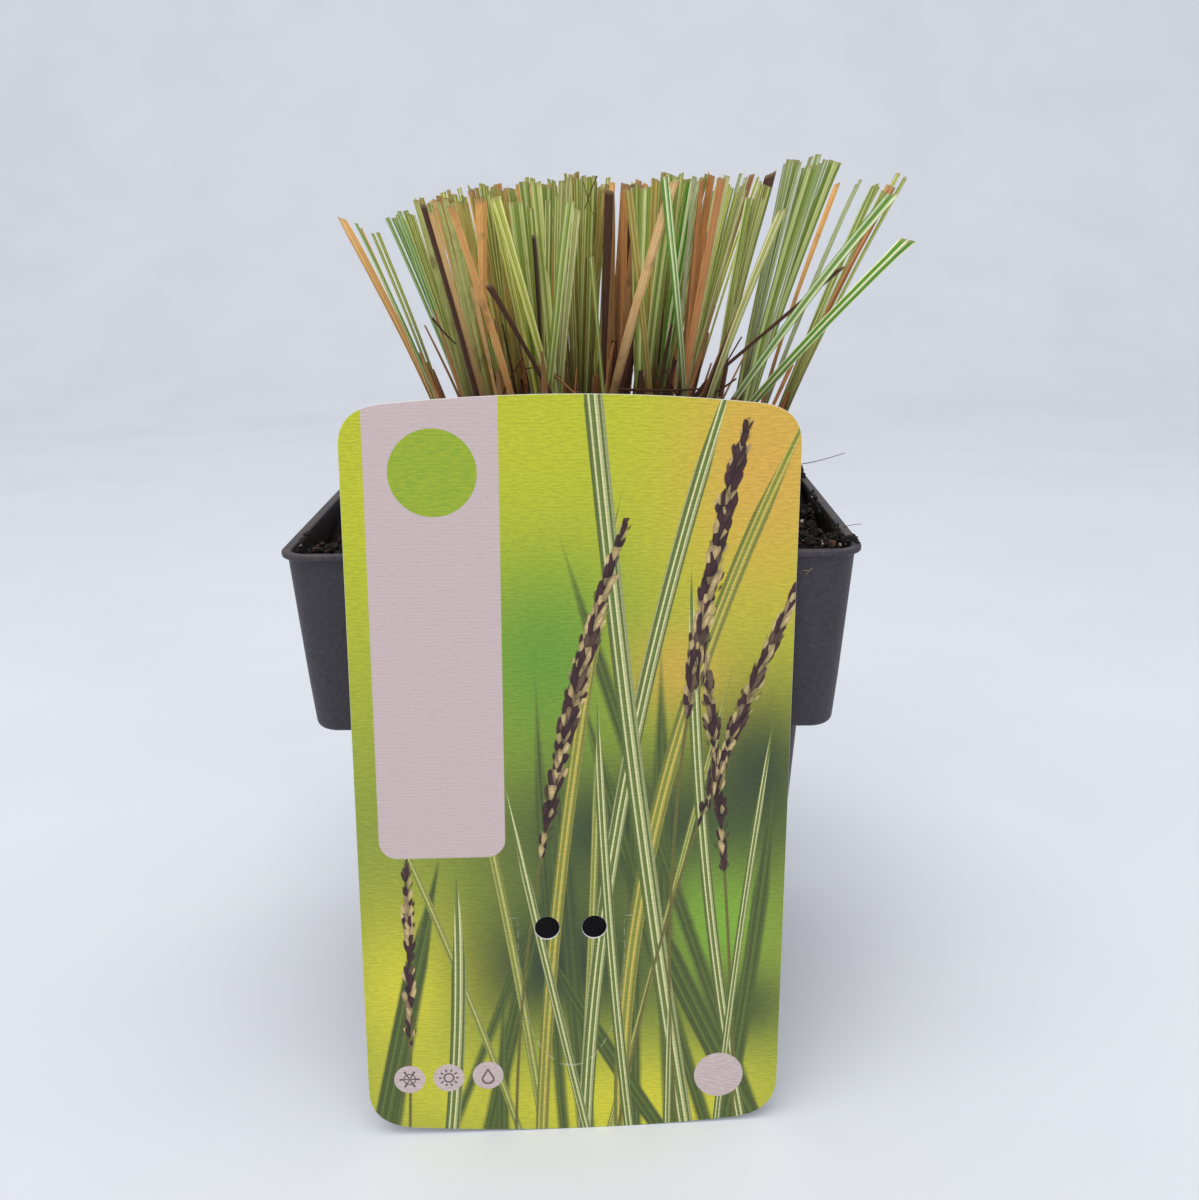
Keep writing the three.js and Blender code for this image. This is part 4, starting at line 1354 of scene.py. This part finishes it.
def make_crown_litter(tuft, materials):
    """Short dead strips, twigs and hairs caught among the shoots' feet."""
    draw = draws(SEEDS["crown"])
    shell = Shell("blade", "band", "stripe")
    for _ in range(tuft.stubs):
        shoot = pick(draw, TUFT)
        x = about(draw, shoot.x, STUB["stray"])
        y = about(draw, row_at(shoot.row, 0), STUB["stray"])
        z = soil_height(x, y) - STUB["sunk"]
        among = "front" if y < 0 else "rear"
        tallest = STUB_TALLEST[among if STUB_MIDDLE[0] < x < STUB_MIDDLE[1] else "side"]
        high = mix(STUB["shortest"], tallest, draw() ** 1.5)
        away = mix(*STUB["aside"], draw()) * min(high, 9)
        turn = draw() * 2 * math.pi
        spread = spread_at(z + high)
        tip_x = x + x * 1.2 * spread + away * math.cos(turn)
        tip = (tip_x, y * (1 + ROW_SPREAD * spread) + away * math.sin(turn), z + high)
        look = look_of(tuft, pick(draw, STUB_FINISHES), draw)
        stub(shell, (x, y, z), tip, mix(*STUB["wide"], draw()), look, draw)
    for start, end, rise, thick, letter in TWIGS:
        look = look_of(tuft, letter, draw)
        steps = np.linspace(0, 1, 12)[:, None]
        path = mix(np.array(start), np.array(end), steps) + (0, 0, 1) * np.sin(steps * math.pi) * rise
        radii = np.linspace(thick, thick * 0.6, 12)[:, None] * (1, 0.8)
        lanes = np.tile(np.linspace(-1, 1, 6), 12)
        places = np.stack([lanes, lanes * 0 + 0.5, lanes * 0 + draw()], 1)
        tube(shell, path * MM, radii * MM, 6, blade=places, **look.colours)
    piece = shell.piece("crown_litter", materials["dry"], sharp=60)
    return piece


def stub(shell, foot, tip, width, look, draw):
    """A short dead strip, curled over its length, from one point to another."""
    foot, tip = np.array(foot), np.array(tip)
    lanes = np.linspace(-1, 1, 5)
    side = np.cross(tip - foot, [0, 0, 1.0])
    side /= max(np.linalg.norm(side), 1e-6)
    over = np.cross(side, tip - foot) / np.linalg.norm(tip - foot)
    sag = about(draw, 0, 2.4)
    seed = draw()
    curl = about(draw, 0.5, 0.7)
    thick = np.full(5, STUB["thick"])
    rings = []
    for up in np.linspace(0, 1, 8):
        half = width / 2 * (1 - 0.75 * up**2.5)
        middle = mix(foot, tip, up) + over * sag * math.sin(up * math.pi) + side * (lanes * half)[:, None]
        rings.append((middle, over, (lanes**2 - 0.4) * curl * half, thick))
    add_strip(shell, rings, lanes, seed, 0.1, 0.6, look)


def card_outline():
    """Points round the card, across from its middle and up from its foot: arched top, bowed
    foot, rounded corners. Also the radius of the bowed foot."""
    half = CARD_WIDE / 2
    top_r = half * half / (2 * CARD_TOP_BOW)
    foot_r = half * half / (2 * CARD_FOOT_BOW)

    def sunk(radius, x):
        return radius - math.sqrt(radius * radius - x * x)

    def corner(start, control, end, steps=8):
        points = []
        for i in range(steps + 1):
            t = i / steps
            weights = np.array(((1 - t) ** 2, 2 * t * (1 - t), t * t))
            points.append(tuple(weights @ np.array((start, control, end))))
        return points

    foot_x = half - CARD_FOOT_CORNER
    top_x = half - CARD_TOP_CORNER
    foot_y = sunk(foot_r, foot_x)
    top_y = CARD_TALL - sunk(top_r, top_x)
    right = corner((foot_x, foot_y), (half, sunk(foot_r, half)), (half, foot_y + CARD_FOOT_CORNER))
    control = (half, CARD_TALL - sunk(top_r, half))
    right += corner((half, top_y - CARD_TOP_CORNER), control, (top_x, top_y))
    foot = [(x, sunk(foot_r, x)) for x in np.linspace(-foot_x, foot_x, 14)[1:-1]]
    top = [(x, CARD_TALL - sunk(top_r, x)) for x in np.linspace(top_x, -top_x, 14)[1:-1]]
    left = [(-x, y) for x, y in reversed(right)]
    return foot + right + top + left, foot_r


def card_sheet(outline):
    """The flat card's mesh, with two round holes and softened edges."""
    hole = []
    for i in range(40):
        turn = -i * math.pi / 20
        x = CARD_HOLE["shift"] + CARD_HOLE["spacing"] / 2 + CARD_HOLE["radius"] * math.cos(turn)
        hole.append((x, CARD_HOLE["high"] + CARD_HOLE["radius"] * math.sin(turn)))
    sheet = bpy.data.curves.new("card_sheet", "CURVE")
    sheet.dimensions = "2D"
    sheet.fill_mode = "BOTH"
    sheet.extrude = CARD_THICK / 2 - CARD_EDGE
    sheet.bevel_depth = CARD_EDGE
    sheet.bevel_resolution = 2
    sheet.offset = -CARD_EDGE
    for points in (outline, hole, [(x - CARD_HOLE["spacing"], y) for x, y in hole]):
        line = sheet.splines.new("POLY")
        line.points.add(len(points) - 1)
        line.points.foreach_set("co", np.array([(x, y, 0, 1) for x, y in points]).ravel())
        line.use_cyclic_u = True
    holder = add_object("card_sheet", sheet)
    mesh = evaluated_mesh(holder)
    bpy.data.objects.remove(holder)
    mesh.name = "plant_card"
    return mesh


def make_card(card):
    """The plant card: one thin sheet with two holes, printed on the front."""
    outline, foot_r = card_outline()
    mesh = card_sheet(outline)
    flat = np.array([vertex.co for vertex in mesh.vertices])
    layer = mesh.attributes.new("card", "FLOAT_VECTOR", "POINT")
    layer.data.foreach_set("vector", (flat / MM * (1, 1, 0)).astype(np.float32).ravel())
    for polygon in mesh.polygons:
        polygon.material_index = 0 if polygon.normal.z > FLAT_FACE else 1
    bake_map(mesh, flat)
    in_front = RIM_HALF + GAP + POT_HEIGHT * math.tan(CARD_LEAN) + CARD_WIDE / 2 * math.sin(CARD_TURN)
    roll_shift = (foot_r - CARD_TALL / 2) * math.sin(CARD_ROLL)
    mesh.transform(
        Matrix.Translation((0, -in_front, 0))
        @ Matrix.Rotation(CARD_TURN, 4, "Z")
        @ Matrix.Rotation(math.pi / 2 - CARD_LEAN, 4, "X")
        @ Matrix.Translation((roll_shift, foot_r, CARD_THICK / 2))
        @ Matrix.Rotation(-CARD_ROLL, 4, "Z")
        @ Matrix.Translation((0, -foot_r, 0))
    )
    piece = place("plant_card", mesh, card_print(card), card_plain(card), sharp=30)
    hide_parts("label")
    return piece


def bake_map(mesh, flat):
    """Gives the printed side most of the card's texture, the back and edges the rest."""
    layer = mesh.uv_layers.new(name="OFBake")
    for polygon in mesh.polygons:
        up = polygon.normal.z
        side = "front" if up > FLAT_FACE else "back" if up < -FLAT_FACE else "edge"
        start, width = MAP_ACROSS[side]
        for corner in polygon.loop_indices:
            x, y, z = flat[mesh.loops[corner].vertex_index]
            across = (z / CARD_THICK if side == "edge" else x / CARD_WIDE) + 0.5
            layer.uv[corner].vector = (start + width * across, mix(*MAP_UP, y / CARD_TALL))


# Settings


def colour(name, description, code):
    return FloatVectorProperty(
        name=name, description=description, subtype="COLOR", size=3, min=0, max=1, default=linear(code)
    )


def count(name, description, default):
    return IntProperty(name=name, description=description, default=default, min=0)


class MOORGRASS_PG_pot(bpy.types.PropertyGroup):
    colour: colour("Plastic", "The pot's own colour", "#444148")
    shade_colour: colour("Plastic, darker", "What the stipple falls back to", "#29252a")
    # Dust on upper faces, and also the painted highlight along the rim
    dust_and_highlight_colour: colour("Dust", "Dry soil on the rim and ledges", "#6d625b")
    # Caked soil, and also the painted shade on the inside wall
    grime_and_shade_colour: colour("Grime", "Moist soil on the inside wall", "#0f0a07")


class MOORGRASS_PG_soil(bpy.types.PropertyGroup):
    colour: colour("Soil", "Moist peat", "#20120d")
    dark_colour: colour("Soil, darker", "Wet hollows", "#060303")
    fleck_colour: colour("Flecks", "Paler flecks in the peat", "#5e3f2e")
    crumbs: count("Crumbs", "Loose crumbs of soil", 2600)
    flakes: count("Bark flakes", "Flakes of bark", 230)
    grains: count("Grains", "Pale grit in the soil", 170)
    heaped: FloatProperty(
        name="Heaped", description="Share of each kind that every heap adds", default=0.12, min=0, max=1
    )
    fibres: count("Fibres", "Fine roots and fibres", 190)


class MOORGRASS_PG_card(bpy.types.PropertyGroup):
    ground_high: colour("Ground, upper", "Soft yellow green behind the leaves", "#c2c72b")
    ground_low: colour("Ground, lower", "Soft green behind the leaves", "#93a33a")
    ground_deep: colour("Ground, deep", "The darkest blurred green", "#33442e")
    ground_light: colour("Ground, light", "Bright blurred green", "#86b83a")
    ground_mid: colour("Ground, middle", "Mid green blur", "#5f9a34")
    ground_ochre: colour("Ground, ochre", "Warm blurred patch at the top right", "#dfb04c")
    ground_yellow: colour("Ground, yellow", "Yellow blurred patches near the foot", "#dad43a")
    leaf_dark: colour("Leaf, far", "Leaves out of focus", "#4c592b")
    leaf_mid: colour("Leaf, middle", "Leaves behind the front ones", "#87903b")
    leaf_pale: colour("Leaf stripe", "Pale stripes of the middle leaves", "#cdca78")
    leaf_green: colour("Leaf, near", "Green of the front leaves", "#667a33")
    leaf_gold: colour("Leaf stripe, gold", "Straw stripes of some leaves", "#d8c25c")
    leaf_cream: colour("Leaf stripe, near", "Cream stripes of the front leaves", "#e6e3a8")
    stem_colour: colour("Stem", "Stems of the flower spikes", "#6d6a33")
    spike_dark: colour("Spike", "Purple brown grains", "#43262a")
    spike_pale: colour("Spike, pale", "Straw-coloured grains", "#cbb27b")
    panel_colour: colour("Panel", "Bare panel and round signs", "#cfbcba")
    ink_colour: colour("Ink", "Care signs", "#3a2f30")
    cut_colour: colour("Stamped line", "The tongue's outline", "#dfe3c8")
    back_high: colour("Back", "The white card itself", "#eff0ee")
    back_low: colour("Back, darker", "Soft clouds in the white", "#d9dad7")
    smudge_colour: colour("Smudges", "Traces of soil on the white", "#8d8273")


class MOORGRASS_PG_tuft(bpy.types.PropertyGroup):
    blade_thickness: FloatProperty(
        name="Blade thickness", description="At the midrib", unit="LENGTH", default=0.3 * MM, min=0
    )
    thin_blades: count("Thin blades", "Added to each shoot of three or more blades", 2)
    stubs: count("Stubs", "Short dead strips at the crown", 640)
    foot_colour: colour("Foot", "Brown at a blade's foot", "#573721")
    wear_colour: colour("Wear", "Yellowed patches on live leaf", "#a8914c")
    stain_colour: colour("Stain", "Dark patches on dead leaf", "#5a3a25")
    cut_colour: colour("Cut", "Dried edge at the cut", "#b9a877")
    for finish in FINISHES.values():
        title = finish.name.replace("_", " ").capitalize()
        band = colour(title, "The blade itself", finish.band)
        stripe = colour(title + " stripe", "Its stripes or fibres", finish.stripe)
        __annotations__.update({finish.name + "_band": band, finish.name + "_stripe": stripe})
    del finish, title, band, stripe


class MOORGRASS_PG_stage(bpy.types.PropertyGroup):
    floor_high: colour("Floor", "Pale floor", "#e9ecef")
    floor_low: colour("Floor, mottled", "Slightly darker clouds in it", "#e5e8ec")
    sky: colour("Light", "Soft light from all round", "#e3e4eb")
    sky_strength: FloatProperty(
        name="Light strength", description="Strength of the light from all round", default=0.87, min=0
    )
    key_power: FloatProperty(
        name="Key light", description="Soft lamp overhead", subtype="POWER", default=9.5, min=0
    )


# Operators


class MOORGRASS_OT_pot(bpy.types.Operator):
    """Make the pot"""

    bl_idname = "moorgrass.pot"
    bl_label = "Pot"

    def execute(self, context):
        piece = make_pot(context.scene.moorgrass_pot)
        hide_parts("pot")
        return {"FINISHED"}


class MOORGRASS_OT_soil(bpy.types.Operator):
    """Fill the pot with soil"""

    bl_idname = "moorgrass.soil"
    bl_label = "Soil"

    def execute(self, context):
        piece = make_soil(context.scene.moorgrass_soil)
        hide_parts("soil")
        return {"FINISHED"}


class MOORGRASS_OT_litter(bpy.types.Operator):
    """Scatter crumbs, bark, grit and fibres on the soil"""

    bl_idname = "moorgrass.litter"
    bl_label = "Soil litter"

    def execute(self, context):
        for piece in make_litter(context.scene.moorgrass_soil):
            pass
        return {"FINISHED"}


class MOORGRASS_OT_card(bpy.types.Operator):
    """Lean the plant card on the rim"""

    bl_idname = "moorgrass.card"
    bl_label = "Plant card"

    def execute(self, context):
        make_card(context.scene.moorgrass_card)
        return {"FINISHED"}


class MOORGRASS_OT_tuft(bpy.types.Operator):
    """Grow the shoots, one piece for each"""

    bl_idname = "moorgrass.tuft"
    bl_label = "Tuft"

    def execute(self, context):
        tuft = context.scene.moorgrass_tuft
        materials = {"green": leaf(tuft, "live_leaf", True), "dry": leaf(tuft, "dead_leaf", False)}
        for index, shoot in enumerate(TUFT):
            make_shoot(tuft, materials, shoot, index)
        make_crossing(tuft, materials)
        make_crown_litter(tuft, materials)
        return {"FINISHED"}


class MOORGRASS_OT_stage(bpy.types.Operator):
    """Set the pale floor, the soft light and the camera"""

    bl_idname = "moorgrass.stage"
    bl_label = "Stage"

    def execute(self, context):
        stage = context.scene.moorgrass_stage
        set_floor(stage)
        set_light(context.scene, stage)
        set_camera(context.scene)
        return {"FINISHED"}


def set_floor(stage):
    """A floor that sweeps up into a wall far behind the part."""
    line = [(FLOOR_FRONT, 0.0)]
    for i in range(17):
        turn = i * math.pi / 32
        y = WALL_AT - WALL_BEND + WALL_BEND * math.sin(turn)
        line.append((y, WALL_BEND - WALL_BEND * math.cos(turn)))
    line.append((WALL_AT, WALL_HIGH))
    points = [(x, y, z) for y, z in line for x in (-STAGE_HALF, STAGE_HALF)]
    faces = [(2 * i, 2 * i + 1, 2 * i + 3, 2 * i + 2) for i in range(len(line) - 1)]
    mesh = bpy.data.meshes.new("studio_floor")
    mesh.from_pydata(points, [], faces)
    mesh.materials.append(studio_floor(stage))
    mesh.shade_smooth()
    add_object("studio_floor", mesh)


def set_light(scene, stage):
    """Soft light from all round and a broad lamp overhead."""
    world = bpy.data.worlds.new("soft_light")
    world.use_nodes = True
    background = next(n for n in world.node_tree.nodes if n.type == "BACKGROUND")
    background.inputs["Color"].default_value = (*stage.sky, 1)
    background.inputs["Strength"].default_value = stage.sky_strength
    scene.world = world
    lamp = bpy.data.lights.new("key_light", "AREA")
    lamp.shape = "DISK"
    lamp.size = LAMP_SIZE
    lamp.energy = stage.key_power
    key = add_object("key_light", lamp)
    key.location = LAMP_AT
    key.rotation_euler = (Vector(LAMP_AIM) - key.location).to_track_quat("-Z", "Y").to_euler()
    scene.view_settings.view_transform = "Standard"


def set_camera(scene):
    """The photograph's own place, direction and field of view."""
    down, yaw, roll = [math.radians(angle) for angle in (CAMERA_DOWN, CAMERA_YAW, CAMERA_ROLL)]
    ahead = Vector((math.sin(yaw) * math.cos(down), math.cos(yaw) * math.cos(down), -math.sin(down)))
    level = Vector((math.cos(yaw), -math.sin(yaw), 0))
    upright = level.cross(ahead)
    right = level * math.cos(roll) + upright * math.sin(roll)
    up = upright * math.cos(roll) - level * math.sin(roll)
    lens = bpy.data.cameras.new("camera")
    lens.sensor_fit = "HORIZONTAL"
    lens.sensor_width = SENSOR
    lens.lens = SENSOR * FOCAL_PIXELS / FRAME_WIDE
    lens.clip_start = CLIP_START
    camera = add_object("camera", lens)
    facing = Matrix((right, up, -ahead)).transposed().to_4x4()
    camera.matrix_world = Matrix.Translation(Vector(CAMERA_AT) * MM) @ facing
    scene.camera = camera


class MOORGRASS_PT_panel(bpy.types.Panel):
    """The operators and their settings"""

    bl_label = "Moor grass"
    bl_idname = "MOORGRASS_PT_panel"
    bl_space_type = "VIEW_3D"
    bl_region_type = "UI"
    bl_category = "Moor grass"

    def draw(self, context):
        for operator in OPERATORS:
            self.layout.operator(operator.bl_idname)
        for name, group in SETTINGS.items():
            box = self.layout.box()
            settings = getattr(context.scene, name)
            for field in group.__annotations__:
                box.prop(settings, field)


SETTINGS = {
    "moorgrass_pot": MOORGRASS_PG_pot,
    "moorgrass_soil": MOORGRASS_PG_soil,
    "moorgrass_card": MOORGRASS_PG_card,
    "moorgrass_tuft": MOORGRASS_PG_tuft,
    "moorgrass_stage": MOORGRASS_PG_stage,
}
OPERATORS = [
    MOORGRASS_OT_stage,
    MOORGRASS_OT_pot,
    MOORGRASS_OT_soil,
    MOORGRASS_OT_litter,
    MOORGRASS_OT_card,
    MOORGRASS_OT_tuft,
]
CLASSES = [*SETTINGS.values(), *OPERATORS, MOORGRASS_PT_panel]


def register():
    for cls in CLASSES:
        bpy.utils.register_class(cls)
    for name, group in SETTINGS.items():
        setattr(bpy.types.Scene, name, PointerProperty(type=group))


def unregister():
    for name in SETTINGS:
        delattr(bpy.types.Scene, name)
    for cls in reversed(CLASSES):
        bpy.utils.unregister_class(cls)


def main():
    register()
    for operator in OPERATORS:
        group, name = operator.bl_idname.split(".")
        getattr(getattr(bpy.ops, group), name)()


if __name__ == "__main__":
    main()
